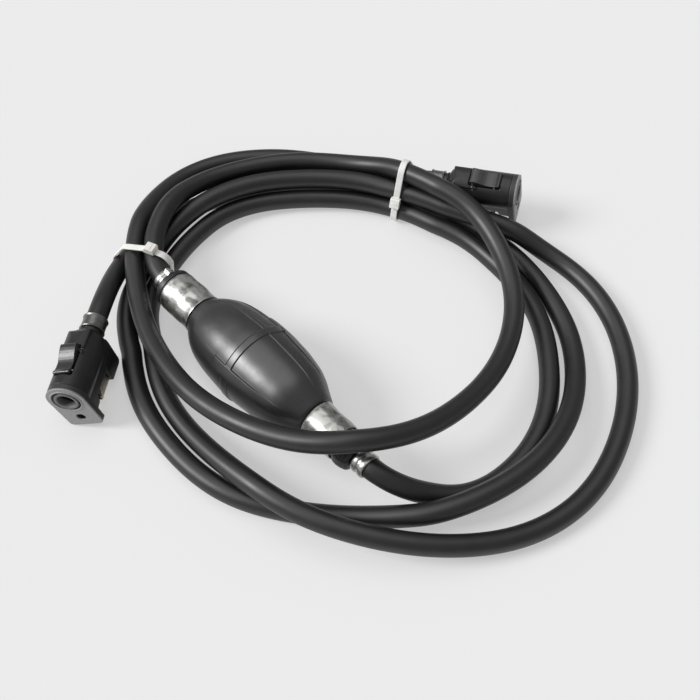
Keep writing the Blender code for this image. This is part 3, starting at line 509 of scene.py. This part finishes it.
def as_object(name, verts, faces, sharp=40):
    me = bpy.data.meshes.new(name)
    me.from_pydata([tuple(v) for v in np.asarray(verts, float) * MM], [], faces)
    me.validate()
    bm = bmesh.new()
    bm.from_mesh(me)
    bmesh.ops.recalc_face_normals(bm, faces=bm.faces)
    bm.to_mesh(me)
    bm.free()
    me.shade_smooth()
    me.set_sharp_from_angle(angle=math.radians(sharp))
    o = bpy.data.objects.new(name, me)
    SCENE.collection.objects.link(o)
    return o


def wrap(name, rows, sharp=40):
    """A closed skin over rings of points: the last ring joins the first."""
    rows = np.asarray(rows, float)
    n, m = rows.shape[:2]
    k = np.arange(m)
    faces = []
    for i in range(n):
        a, b = i * m, ((i + 1) % n) * m
        faces += np.stack([a + k, a + (k + 1) % m, b + (k + 1) % m, b + k], 1).tolist()
    return as_object(name, rows.reshape(-1, 3), faces, sharp)


def turned(name, profile, seg=96, lobes=None, sharp=40):
    """Turns a ring of (x, r) points about X."""
    f = 2 * math.pi * np.arange(seg) / seg
    rows = []
    for x, r in profile:
        q = r * (lobes(x, r, f) if lobes else np.ones(seg))
        rows.append(np.stack([np.full(seg, x), q * np.sin(f), q * np.cos(f)], 1))
    return wrap(name, rows, sharp)


def knob(name, profile, seg=96):
    """Turns (x, r) points about X; both ends lie on the axis."""
    f = 2 * math.pi * np.arange(seg) / seg
    verts, faces = [(profile[0][0], 0, 0)], []
    for x, r in profile[1:-1]:
        verts += np.stack([np.full(seg, x), r * np.sin(f), r * np.cos(f)], 1).tolist()
    verts.append((profile[-1][0], 0, 0))
    n = len(profile) - 2
    for k in range(seg):
        j = (k + 1) % seg
        faces.append((0, 1 + j, 1 + k))
        faces.append((len(verts) - 1, 1 + (n - 1) * seg + k, 1 + (n - 1) * seg + j))
        for i in range(n - 1):
            a, b = 1 + i * seg, 1 + (i + 1) * seg
            faces.append((a + k, a + j, b + j, b + k))
    return as_object(name, verts, faces)


def rounded(profile, radius, count=4):
    """Rounds the corners of a closed ring of points."""
    p = np.asarray(profile, float)
    out = []
    for i in range(len(p)):
        a, b, c = p[i - 1], p[i], p[(i + 1) % len(p)]
        u, v = a - b, c - b
        r = min(radius, 0.45 * np.linalg.norm(u), 0.45 * np.linalg.norm(v))
        u, v = b + unit(u) * r, b + unit(v) * r
        for k in range(count + 1):
            w = k / count
            out.append((1 - w) ** 2 * u + 2 * w * (1 - w) * b + w * w * v)
    return [tuple(q) for q in out]


def prism(name, points, along, low, high):
    put = {"x": lambda a, b, c: (c, a, b), "y": lambda a, b, c: (a, c, b), "z": lambda a, b, c: (a, b, c)}[along]
    n = len(points)
    verts = [put(a, b, low) for a, b in points] + [put(a, b, high) for a, b in points]
    faces = [tuple(range(n)), tuple(range(2 * n - 1, n - 1, -1))] + [(k, (k + 1) % n, n + (k + 1) % n, n + k) for k in range(n)]
    return as_object(name, verts, faces, 30)


def block(name, x, y, z):
    return prism(name, [(x[0], y[0]), (x[1], y[0]), (x[1], y[1]), (x[0], y[1])], "z", *z)


def rod(name, r, low, high, seg=48, turn=None):
    o = knob(name, [(low, 0), (low, r), (high, r), (high, 0)], seg)
    if turn is not None:
        o.data.transform(turn)
    return o


def at(x, y, z):
    return Matrix.Translation((x * MM, y * MM, z * MM))


ALONG_Y = Matrix.Rotation(math.pi / 2, 4, "Z")


def settle_mesh(o):
    bpy.context.view_layer.update()
    made = bpy.data.meshes.new_from_object(o.evaluated_get(bpy.context.evaluated_depsgraph_get()))
    o.modifiers.clear()
    old, o.data = o.data, made
    bpy.data.meshes.remove(old)
    return o


def combine(o, other, how):
    m = o.modifiers.new("combine", "BOOLEAN")
    m.operation, m.solver, m.object = how, "EXACT", other
    settle_mesh(o)
    bpy.data.objects.remove(other, do_unlink=True)
    return o


def cut(o, *others):
    for c in others:
        combine(o, c, "DIFFERENCE")
    return o


def add(o, *others):
    for c in others:
        combine(o, c, "UNION")
    return o


def moulding(o, voxel, soft=4):
    """Draws the joined shapes together into one skin whose edges are rounded as in a moulding."""
    m = o.modifiers.new("skin", "REMESH")
    m.mode, m.voxel_size = "VOXEL", voxel * MM
    k = o.modifiers.new("soft", "SMOOTH")
    k.factor, k.iterations = 0.5, soft
    settle_mesh(o)
    o.data.shade_smooth()
    return o


def place(o, pose, look, body, *nodes):
    """Puts a piece made in its own millimetres where its part sits, and hands it to its body."""
    o.matrix_world = pose
    o.data.materials.clear()
    o.data.materials.append(LOOK[look])
    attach(o, body)
    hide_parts(*nodes)
    return o


# ------------------------------------------------------------------ bulb
OUTER = [(48.6, 12.8), (46.4, 13.8), (41, 16.4), (34, 19.9), (24, 22.6), (12, 24.0)]
INNER = [(46.6, 8.3), (44.6, 10.8), (39.6, 13.4), (33, 16.9), (23.4, 19.6), (11.7, 21.0)]


def blunt(points):
    return [(x * (1 - 0.048 * (x / 48.6) ** 2), r) for x, r in points]


def both_ends(points, middle):
    fuller = lambda x: min(0.03 * x, 0.16 * (49 - x))     # the inlet's shoulder is the rounder one
    return [(-x, r + fuller(x)) for x, r in points] + [(0, middle)] + list(reversed(blunt(points)))


OUTER_R = spline(*zip(*both_ends(OUTER, BULB_R)))
INNER_R = spline(*zip(*both_ends(INNER, 21.5)))


def relief(t, phi):
    """Moulded panels: two rows of three shallow fields, raised bars between them and the parting line."""
    away = np.abs((phi + 57.5 + 60) % 120 - 60)
    bar, field = 1 - step(away, 8.0, 8.8), step(away, 8.5, 9.4)
    lower = step(t, 0.15, 0.6) * (1 - step(t, 22, 38))
    upper = step(-t, 3.4, 4.4) * (1 - step(-t, 26, 42))
    d = 0.35 * (1 - step(np.abs(t + 2), 4, 14)) - 0.75 * field * lower - 0.5 * field * upper
    d += 0.5 * bar * step(t, -13.4, -12.4) * (1 - step(t, 14, 26))
    arc = math.pi / 180 * 23.5
    for start in (22.6, 202.6):
        off = ((phi - start + 180) % 360 - 180) * arc
        fade = (1 - step(np.abs(t), 32, 45)) * (1 - 0.85 * step(t, -4.6, -3.8) * (1 - step(t, -0.4, 0.3)))
        d += 0.36 * np.exp(-(off / 0.40) ** 2) * fade
        d += 0.24 * np.exp(-((off - 2.3) / 0.36) ** 2) * step(t, -17.5, -15) * (1 - step(t, -4.5, -3))
    return d


def dense(low, high, gap, near, fine, reach):
    """Even stations with closer ones round each place in near."""
    q = list(np.arange(low, high, gap))
    for c in near:
        q += list(np.arange(c - reach, c + reach + 1e-6, fine))
    q = np.unique(np.round([k for k in q if low <= k <= high], 4))
    return q[np.concatenate([[True], np.diff(q) > fine * 0.5])]


def bulb_skin():
    t = np.append(dense(-48.6, 46.2, 1.3, (-12.9, -3.9, 0.35), 0.11, 0.66), 46.25)
    phi = dense(0, 359.9, 2.2, [k + s * 120 for k in (293.8, 311.2) for s in (-2, -1, 0)] + [22.6, 28.2, 202.6, 208.2], 0.28, 1.8)
    a = np.radians(phi)
    rows = []

    def ring(x, r):
        rows.append(np.stack([np.full(len(a), x), r * np.sin(a), r * np.cos(a)], 1))

    for x in (-74.5, -62, -50.4):
        ring(x, 11.3 * np.ones(len(a)))
    ring(-49.5, 11.6 * np.ones(len(a)))
    ring(-49.1, 12.2 * np.ones(len(a)))
    for x in t:
        ring(x, OUTER_R(x) + relief(x, phi))
    ring(46.75, 11.9 * np.ones(len(a)))
    ring(47.1, 10.6 * np.ones(len(a)))
    for x in (47.4, 57, 66.2):
        ring(x, 10.1 * np.ones(len(a)))
    for x in (66.2, 56, 46):
        ring(x, 8.3 * np.ones(len(a)))
    for x in np.linspace(44.2, -46.6, 25):
        ring(x, INNER_R(x) * np.ones(len(a)))
    for x in (-48, -61, -74.5):
        ring(x, 8.3 * np.ones(len(a)))
    rows = np.array(rows)
    world = rows @ BULB_ROT.T + BULB_MID
    world[..., 2] = np.maximum(world[..., 2], 0.02)      # the rubber lies flat on the floor
    return wrap("bulb_skin", (world - BULB_MID) @ BULB_ROT, 60)


bulb_skin_piece = place(bulb_skin(), BULB_POSE, "bulb_rubber", "pump", "bulb_shell", "bulb_press_wall")
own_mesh(bulb_skin_piece)


# ------------------------------------------------------------------ sleeves
def crumple(t, f, seed, fold):
    """Dents and long soft folds of a thin sleeve pressed on the neck."""
    out = np.zeros(len(f))
    for k, a in enumerate(f):
        p = Vector((t / 8.5 + seed, 1.5 * math.cos(a), 1.5 * math.sin(a)))
        q = Vector((t / 30 + seed, 2.6 * math.cos(a), 2.6 * math.sin(a)))
        out[k] = 0.42 * noise.noise(p) + fold * (abs(noise.noise(q)) - 0.2) + 0.10 * noise.noise(p * 2.3)
    return out


def sleeve(name, stations, bore, seed, fold):
    seg = 120
    f = 2 * math.pi * np.arange(seg) / seg
    r_of = spline(*zip(*stations))
    low, high = stations[0][0], stations[-1][0]
    t = np.linspace(low, high, 46)
    rows = [np.stack([np.full(seg, t[0]), bore * np.sin(f), bore * np.cos(f)], 1)]
    for x in t:
        ease = min(step(x - low, 0, 2.2), step(high - x, 0, 2.2))
        r = np.maximum(r_of(x) + crumple(x, f, seed, fold) * float(ease), bore + 0.1)
        rows.append(np.stack([np.full(seg, x), r * np.sin(f), r * np.cos(f)], 1))
    rows.append(np.stack([np.full(seg, t[-1]), bore * np.sin(f), bore * np.cos(f)], 1))
    return wrap(name, rows, 50)


place(sleeve("inlet_sleeve_skin", [(-75.4, 12.1), (-74.7, 12.45), (-73.4, 12.6), (-66, 12.6), (-58, 12.5), (-51.5, 12.55), (-50.4, 12.7), (-49.8, 12.7)], 11.55, 3.1, 0.30),
      BULB_POSE, "crimped_steel", "pump", "inlet_sleeve")
place(sleeve("outlet_sleeve_skin", [(47.5, 11.9), (48.2, 11.7), (50, 11.4), (55, 11.1), (61, 11.0), (66.2, 10.95), (67.2, 10.9), (67.9, 10.8)], 10.35, 7.7, 0.35),
      BULB_POSE, "crimped_steel", "pump", "outlet_sleeve")


# ------------------------------------------------------------------ check valve bodies
def valve_skin(name, side, collar, lobes=None):
    p = [(BARB_TIP, 1.9), (BARB_TIP, 2.5), (88.6, 3.1), (88.5, 2.7), (86.2, 3.1), (86.1, 2.7), (COLLAR_FACE, 2.7), *collar,
         (collar[-1][0], 8.1), (50, 8.1), (50, 6.05), (66, 6.05), (70.5, 1.9)]
    return turned(name, [(side * x, r) for x, r in p], 144, lobes, 35)


def lobed(x, r, f):
    return 1 + (0.034 * (np.cos(6 * f) - 1) if r > 8.5 else 0) + 0 * f


RIBBED = [(COLLAR_FACE, 7.9), (79.1, 8.6), (78.6, 9.3), (77.9, 9.8), (77.1, 10.15), (76.7, 9.85), (76.3, 10.3), (75.4, 10.65), (75.0, 10.35), (74.6, 10.75),
          (73.7, 10.95), (73.3, 10.65), (72.9, 11.0), (72.0, 11.05), (71.6, 10.75), (71.2, 11.0), (70.3, 10.9), (69.4, 10.65), (68.7, 10.3), (68.2, 9.8)]
place(valve_skin("inlet_valve_skin", -1, rounded([(COLLAR_FACE, 10.8), (COLLAR_FACE, 12.2), (75.8, 12.2), (75.8, 10.8)], 1.0, 6)),
      BULB_POSE, "black_plastic", "pump", "inlet_valve_body")
place(valve_skin("outlet_valve_skin", 1, RIBBED, lobed), BULB_POSE, "black_plastic", "pump", "outlet_valve_body")


# ------------------------------------------------------------------ clamps
def under(rot):
    """How far round its axis a clamp's ear sits."""
    a = rot.T @ np.array(EAR_WAY)
    return math.atan2(-a[1], a[2])


def band(name, low, high, ear, twin):
    """A pressed band with rolled rims; twin has a sunk middle.  The ear is pinched shut over a small loop."""
    mid, lip = (low + high) / 2, 0.9
    if twin:
        top = [(low + 0.2, 7.1), (low + 0.7, 7.3), (mid - 1.3, 7.3), (mid - 0.75, 7.1), (mid - 0.5, 6.6), (mid + 0.5, 6.6), (mid + 0.75, 7.1), (mid + 1.3, 7.3), (high - 0.7, 7.3), (high - 0.2, 7.1)]
    else:
        top = [(low + 0.15, 7.2), (low + 0.5, 7.42), (low + lip, 7.3), (low + lip + 0.4, 6.98), (mid, 6.92), (high - lip - 0.4, 6.98), (high - lip, 7.3), (high - 0.5, 7.42), (high - 0.15, 7.2)]
    o = turned(name, [(low, 6.2), (low, 6.7), *top, (high, 6.7), (high, 6.2)], 96)
    loop = [(2.3, 6.3), (1.75, 7.4), (1.15, 8.0), (1.5, 8.7), (1.2, 9.3), (0, 9.5), (-1.2, 9.3), (-1.5, 8.7), (-1.15, 8.0), (-1.75, 7.4), (-2.3, 6.3)]
    piece = prism("ear", rounded(loop, 0.3, 3), "x", mid - 2.2, mid + 2.2)
    piece.data.transform(Matrix.Rotation(ear, 4, "X"))
    add(o, piece)
    o.data.shade_smooth()
    o.data.set_sharp_from_angle(angle=math.radians(35))
    return o


place(band("inlet_clamp_band", -CLAMP_TO, -CLAMP_FROM, -0.3, True), BULB_POSE, "clamp_steel", "pump", "inlet_clamp")
place(band("outlet_clamp_band", CLAMP_FROM, CLAMP_TO, under(BULB_ROT), True), BULB_POSE, "clamp_steel", "pump", "outlet_clamp")


# ------------------------------------------------------------------ connectors
def connector(which, pose, ear):
    n = lambda k: f"{which}_{k}"
    made = []

    body = turned(n("connector_skin"), [(-44.6, 4.3), (-44.6, 6.6), (-44.3, 6.9), (-43.7, 6.9), (-43.3, 8.4), (-42.6, 9.3), (-41.0, 10.0), (-36, 10.9), (-29, 11.3), (-4.05, 11.3), (-4.05, 7.0),
                                        (-18, 7.0), (-18, 5.6), (-33, 5.6), (-33, 2.2), (-38.9, 2.2), (-38.9, 4.3)], 96)
    hump = prism("hump", [(-42.0, 5.0), (-41.8, 8.6), (-41.2, 10.2), (-39.4, 11.4), (-36, 12.0), (-30.2, 12.0), (-29.6, 11.4), (-25.8, 10.7), (-24.6, 9.6), (-24.0, 5.0)], "y", -7.3, 7.3)
    combine(hump, rod("barrel", 12.1, -50, 0, 96), "INTERSECT")
    hood = prism("hood", [(-43.0, -2), (-43.0, -20.2), (-42.5, -21.4), (-41.2, -22.4), (-29.6, -22.4), (-28.7, -21.5), (-28.7, -12.4), (-11.6, -12.4), (-11.2, -15.2), (-10.2, -16.4), (-4.3, -17.6), (-4.3, -2)], "y", -12, 12)
    combine(hood, prism("taper", [(-9.9, 0), (-9.7, -6), (-7.6, -23), (7.6, -23), (9.7, -6), (9.9, 0)], "x", -50, 0), "INTERSECT")
    add(body, hump, hood)
    groove = [(5, -24), (5, -10.6), (8.5, -7.4), (9.7, -2.1), (9.7, 0.3), (9.1, 3.9), (6.4, 8.6)]
    cut(body, block("pocket", (-30.1, -10.3), (-5.55, 5.55), (7.8, 20)),
        prism("groove", groove + [(-y, z) for y, z in reversed(groove)], "x", -15.1, -13.1),
        rod("pin_way", 2.9, -13.5, -3, 32, at(0, 0, PIN_Z)),
        rod("bore", 6.99, -18, 2, 64), rod("chamber", 5.58, -32.9, -17, 48), rod("way", 2.2, -39.4, -32, 32), rod("root", 4.28, -48, -39.0, 48),
        rod("hole", 1.06, -9, 9, 24, at(*PIVOT) @ ALONG_Y))
    for side in (1, -1):       # sunk panel on each flank of the hood
        sunk = prism("sunk", rounded([(-41.8, -9.0), (-41.8, -19.6), (-30.4, -20.6), (-30.4, -9.0)], 1.2), "y", 8.55, 12.0)
        sunk.data.transform(Matrix.Scale(side, 4, (0, 1, 0)))
        if side < 0:
            sunk.data.flip_normals()
        cut(body, sunk)
    made.append(place(moulding(body, 0.30, 4), pose, "black_plastic", "pump", n("connector_body")))

    edge = [(PLATE_R * math.cos(f), PLATE_R * math.sin(f)) for f in np.linspace(0, math.pi, 49)]
    for s_, start in ((-1, math.pi), (1, 1.5 * math.pi)):
        edge += [(s_ * (FOOT_HALF - 2.6) + 2.6 * math.cos(f), -PLATE_FOOT + 2.6 + 2.6 * math.sin(f)) for f in np.linspace(start, start + math.pi / 2, 9)]
    plate = prism(n("face_plate_skin"), edge, "x", -PLATE_T, 0)
    cut(plate, turned("groove", [(-1.4, 6.9), (-1.4, 8.15), (0.6, 8.15), (0.6, 6.9)], 96), rod("bore", 7.15, -9, 5, 96), rod("pin_hole", 2.8, -9, 5, 48, at(0, 0, PIN_Z)))
    add(plate, turned("rim", rounded([(-0.6, 8.2), (-0.6, 9.0), (0.5, 9.0), (0.5, 8.2)], 0.25), 96))
    made.append(place(moulding(plate, 0.2, 2), pose, "grey_plastic", "pump", n("face_plate")))

    insert = [(-17.7, 6.9), (0.1, 6.9), (0.4, 6.75), (0.5, 6.4), (0.5, 5.8), (0.35, 5.4), (0.0, SOCKET_R), (-3.8, SOCKET_R), (-3.8, 6.4), (-6.2, 6.4), (-6.2, SOCKET_R), (-14.5, SOCKET_R), (-15.3, 3.3), (-17.7, 3.3)]
    made.append(place(turned(n("bore_insert_skin"), insert, 96), pose, "insert_grey", "pump", n("bore_insert")))

    pad = prism(n("thumb_pad"), [(-29.6, 9.0), (-29.0, 8.4), (-28.4, 8.1), (-26.2, 8.1), (-23.6, 8.9), (-15.2, 10.25), (-11.0, 10.4), (-10.6, 10.9), (-10.5, 11.7), (-10.9, 12.3), (-11.5, 12.45), (-12.2, 12.1), (-13.2, 11.55), (-15.0, 11.2),
                                 (-17.0, 11.05), (-18.2, 11.2), (-19.6, 11.55), (-21.2, 12.1), (-23.0, 12.8), (-24.8, 13.45), (-26.6, 13.95), (-28.0, 14.1), (-28.9, 13.9), (-29.4, 13.3), (-29.6, 12.2)], "y", -5.1, 5.1)
    cut(pad, rod("hole", 1.06, -9, 9, 24, at(*PIVOT) @ ALONG_Y))
    made.append(place(moulding(pad, 0.2, 2), pose, "lever_plastic", n("lever"), n("release_lever")))

    half = [(4.2, -20.5), (4.6, -20.1), (4.6, -8.4), (8.2, -5.2), (9.4, 0), (8.8, 3.5), (6.0, 7.9), (3.6, 10.0)]
    clip = prism(n("latch_sheet"), half + [(-y, z) for y, z in reversed(half)], "x", -14.6, -13.6)
    window = [(7.35 * math.cos(f), 7.35 * math.sin(f) + 1.65) for f in np.linspace(0, math.pi, 33)] + [(7.35 * math.cos(f), 7.35 * math.sin(f)) for f in np.linspace(math.pi, 2 * math.pi, 33)]
    cut(clip, prism("window", window, "x", -18, -10), rod("keyhole", 3.3, -18, -10, 48, at(0, 0, PIN_Z + 0.6)))
    wing = [(-28, -20.3), (-28, -13.2), (-19.8, -13.2), (-18.4, -14.3), (-15.2, -18.4), (-14.8, -20.3)]
    add(clip, block("tongue", (-28, -14.1), (-6.2, 6.2), (-20.5, -19.7)), prism("wing", wing, "y", 5.4, 6.2), prism("wing", wing, "y", -6.2, -5.4))
    lip = [(-20.2, -13.2), (-19.4, -13.2), (-18.2, -14.3), (-15.0, -18.4), (-14.7, -20.3), (-15.5, -20.3), (-15.8, -18.6), (-18.9, -14.7)]
    add(clip, prism("lip", lip, "y", 5.4, 6.8), prism("lip", lip, "y", -6.8, -5.4))
    made.append(place(moulding(clip, 0.17, 2), pose, "latch_steel", n("latch"), n("latch_clip")))

    made.append(place(band(n("hose_band"), -56.4, -47.4, ear, False), pose, "band_dark", "pump", n("hose_clamp")))
    barb = [(-39.2, 1.8), (-39.2, 4.1), (-44.75, 4.1), *rounded([(-44.75, 6.0), (-44.75, 6.7), (-45.7, 6.7), (-45.7, 6.0)], 0.3)[5:15], (-45.7, 2.7), (-52.3, 2.7), (-52.4, 3.1), (-54.7, 2.7), (-54.8, 3.1), (-57.3, 2.5), (-57.3, 1.8)]
    made.append(place(turned(n("barb_skin"), barb, 72), pose, "black_plastic", "pump", n("hose_barb")))
    return made


engine_pieces = connector("engine", ENGINE_POSE, under(ENGINE_ROT))
tank_pieces = connector("tank", TANK_POSE, under(TANK_ROT))


# ------------------------------------------------------------------ springs
def spring(name, low, high, r, wire, turns, place_at=(0.0, 0.0, 0.0), along=0):
    """A coil spring along one of its part's own axes."""
    f = np.linspace(0, 2 * math.pi * turns, int(turns * 28) + 1)
    k = np.linspace(0, 2 * math.pi, 13)[:-1]
    out = np.stack([np.zeros(len(f)), np.cos(f), np.sin(f)], 1)
    line = out * r
    line[:, 0] = np.linspace(low, high, len(f))
    rows = line[:, None] + wire * (out[:, None] * np.cos(k)[None, :, None] + np.array([1.0, 0, 0]) * np.sin(k)[None, :, None])
    rows = np.roll(rows, along, axis=2) + np.array(place_at)
    n, m = rows.shape[:2]
    j = np.arange(m)
    faces = []
    for i in range(n - 1):
        faces += np.stack([i * m + j, i * m + (j + 1) % m, (i + 1) * m + (j + 1) % m, (i + 1) * m + j], 1).tolist()
    faces += [list(range(m)), list(range((n - 1) * m, n * m))]
    return as_object(name, rows.reshape(-1, 3), faces)


def sprung(o, pose, node):
    place(o, pose, "spring_steel", "pump", node)
    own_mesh(o)


sprung(spring("inlet_spring_wire", -61.6, -52.7, 3.2, 0.35, 4), BULB_POSE, "inlet_valve_spring")
sprung(spring("outlet_spring_wire", 58.7, 66.2, 3.2, 0.35, 4), BULB_POSE, "outlet_valve_spring")
for which, pose, rot in (("engine", ENGINE_POSE, ENGINE_ROT), ("tank", TANK_POSE, TANK_ROT)):
    sprung(spring(which + "_poppet_wire", -32.5, -20.8, 3.4, 0.4, 4.5), pose, which + "_valve_spring")
    sprung(spring(which + "_lever_wire", 8.2, 9.3, 2.0, 0.3, 2, (-18.5, 0.0, 0.0), 2), pose, which + "_lever_spring")


# ------------------------------------------------------------------ ties
def tie(name, node, lines, centre, azimuth, head_at):
    """A strap drawn round the strands that cross its plane, its ratchet head and the cut tail."""
    n = np.array([math.cos(math.radians(azimuth)), math.sin(math.radians(azimuth)), 0.0])
    side = np.array([n[1], -n[0], 0.0])
    c = np.array([*centre, 0.0]) + LAY
    spots = []
    for shift in (-2.6, 0.0, 2.6):
        for line in lines:
            h = (line - c - n * shift) @ n
            for i in np.nonzero(h[:-1] * h[1:] <= 0)[0]:
                q = line[i] + (line[i + 1] - line[i]) * h[i] / (h[i] - h[i + 1])
                if np.linalg.norm(q[:2] - c[:2]) < 45:
                    run = unit(line[i + 1] - line[i])
                    slant = HOSE_R * (1 / abs(run @ n) - 1)
                    over = run - n * (run @ n)
                    over = over / max(np.linalg.norm(over), 1e-9) * slant
                    for q2 in (q - over, q, q + over):
                        spots.append(((q2 - c) @ side, max(q2[2], HOSE_R + 0.1)))
    spots = np.array(spots)

    def loop(r, count=220):
        out = []
        for k in range(count):
            f = 2 * math.pi * k / count
            d = np.array([math.cos(f), math.sin(f)])
            q = spots[np.argmax(spots @ d)] + d * r
            out.append(q)
        q = even(np.array([(a, b, 0) for a, b in out + out[:1]]), 0.8)[:-1, :2]
        return q

    mid = loop(HOSE_R + 0.95)
    ahead, behind = np.roll(mid, -1, 0), np.roll(mid, 1, 0)
    tangent = (ahead - behind) / np.linalg.norm(ahead - behind, axis=1)[:, None]
    normal = np.stack([tangent[:, 1], -tangent[:, 0]], 1)
    rows = []
    for w, h in ((-2.05, -0.5), (-2.05, 0.4), (-1.7, 0.55), (1.7, 0.55), (2.05, 0.4), (2.05, -0.5)):
        q = mid + normal * h
        rows.append(np.stack([q[:, 0], np.maximum(q[:, 1], 0.03), np.full(len(q), w)], 1))
    o = wrap(name, rows, 40)
    top = np.nonzero(mid[:, 1] > mid[:, 1].mean())[0]
    k = top[np.argmin(np.abs(mid[top, 0] - head_at))]
    d, q = normal[k], mid[k]
    turn = Matrix([[d[1], d[0], 0, q[0] * MM], [-d[0], d[1], 0, q[1] * MM], [0, 0, 1, 0], [0, 0, 0, 1]])
    head = prism("head", [(-3.4, -0.3), (3.4, -0.3), (3.4, 2.6), (2.7, 3.5), (-2.7, 3.5), (-3.4, 2.6)], "z", -3.1, 3.1)
    cut(head, block("mouth", (-1.1, 0.7), (3.2, 6.0), (-1.9, 1.9)))
    tail = block("tail", (-1.0, 0.6), (1.0, 3.7), (-1.8, 1.8))
    for k in (head, tail):
        k.data.transform(turn)
    add(o, head, tail)
    moulding(o, 0.2, 2)
    pose = Matrix([[side[0], 0, n[0], c[0] * MM], [side[1], 0, n[1], c[1] * MM], [0, 1, 0, 0], [0, 0, 0, 1]])
    return place(o, pose, "tie_nylon", "pump", node)


LINES = (engine_line, tank_line)
tie_pieces = [tie(k.replace("_tie", "_strap"), k, LINES, *v) for k, v in TIES.items()]

# ------------------------------------------------------------------ stage
me = bpy.data.meshes.new("floor")
me.from_pydata([(-3, -3, -0.0003), (3, -3, -0.0003), (3, 3, -0.0003), (-3, 3, -0.0003)], [], [(0, 1, 2, 3)])
floor = bpy.data.objects.new("floor", me)
SCENE.collection.objects.link(floor)
fm = Nodes("floor_look")
fm.to("Base Color", fm.ramp(fm.noise(3, 3), [(0.3, (0.382, 0.382, 0.382)), (0.7, (0.388, 0.388, 0.388))]))
fm.set(Roughness=0.9, Specular_IOR_Level=0.1, Emission_Color=(1, 1, 1, 1), Emission_Strength=0.44)
me.materials.append(fm.mat)


def sun(name, towards, strength, angle):
    """A wide soft light that comes from the given side."""
    li = bpy.data.lights.new(name, "SUN")
    li.energy = strength
    li.angle = math.radians(angle)
    o = bpy.data.objects.new(name, li)
    o.rotation_euler = Vector(towards).to_track_quat("Z", "Y").to_euler()
    SCENE.collection.objects.link(o)
    return o


sun("key", (-0.78, -0.10, 0.62), 2.6, 24)
sun("top", (-0.12, 0.22, 0.96), 0.75, 55)
world = bpy.data.worlds.new("studio")
world.use_nodes = True
world.node_tree.nodes["Background"].inputs["Color"].default_value = (1, 1, 1, 1)
world.node_tree.nodes["Background"].inputs["Strength"].default_value = 0.28
SCENE.world = world
SCENE.view_settings.view_transform = "Standard"

cam = bpy.data.cameras.new("camera")
cam.sensor_width = 36.0
cam.lens = 48.55
camera = bpy.data.objects.new("camera", cam)
camera.location = (0.050356, 0.027934 - 0.561 * math.cos(math.radians(55.5)), 0.561 * math.sin(math.radians(55.5)))
camera.rotation_euler = (math.radians(34.5), 0, 0)
SCENE.collection.objects.link(camera)
SCENE.camera = camera

bpy.context.view_layer.update()
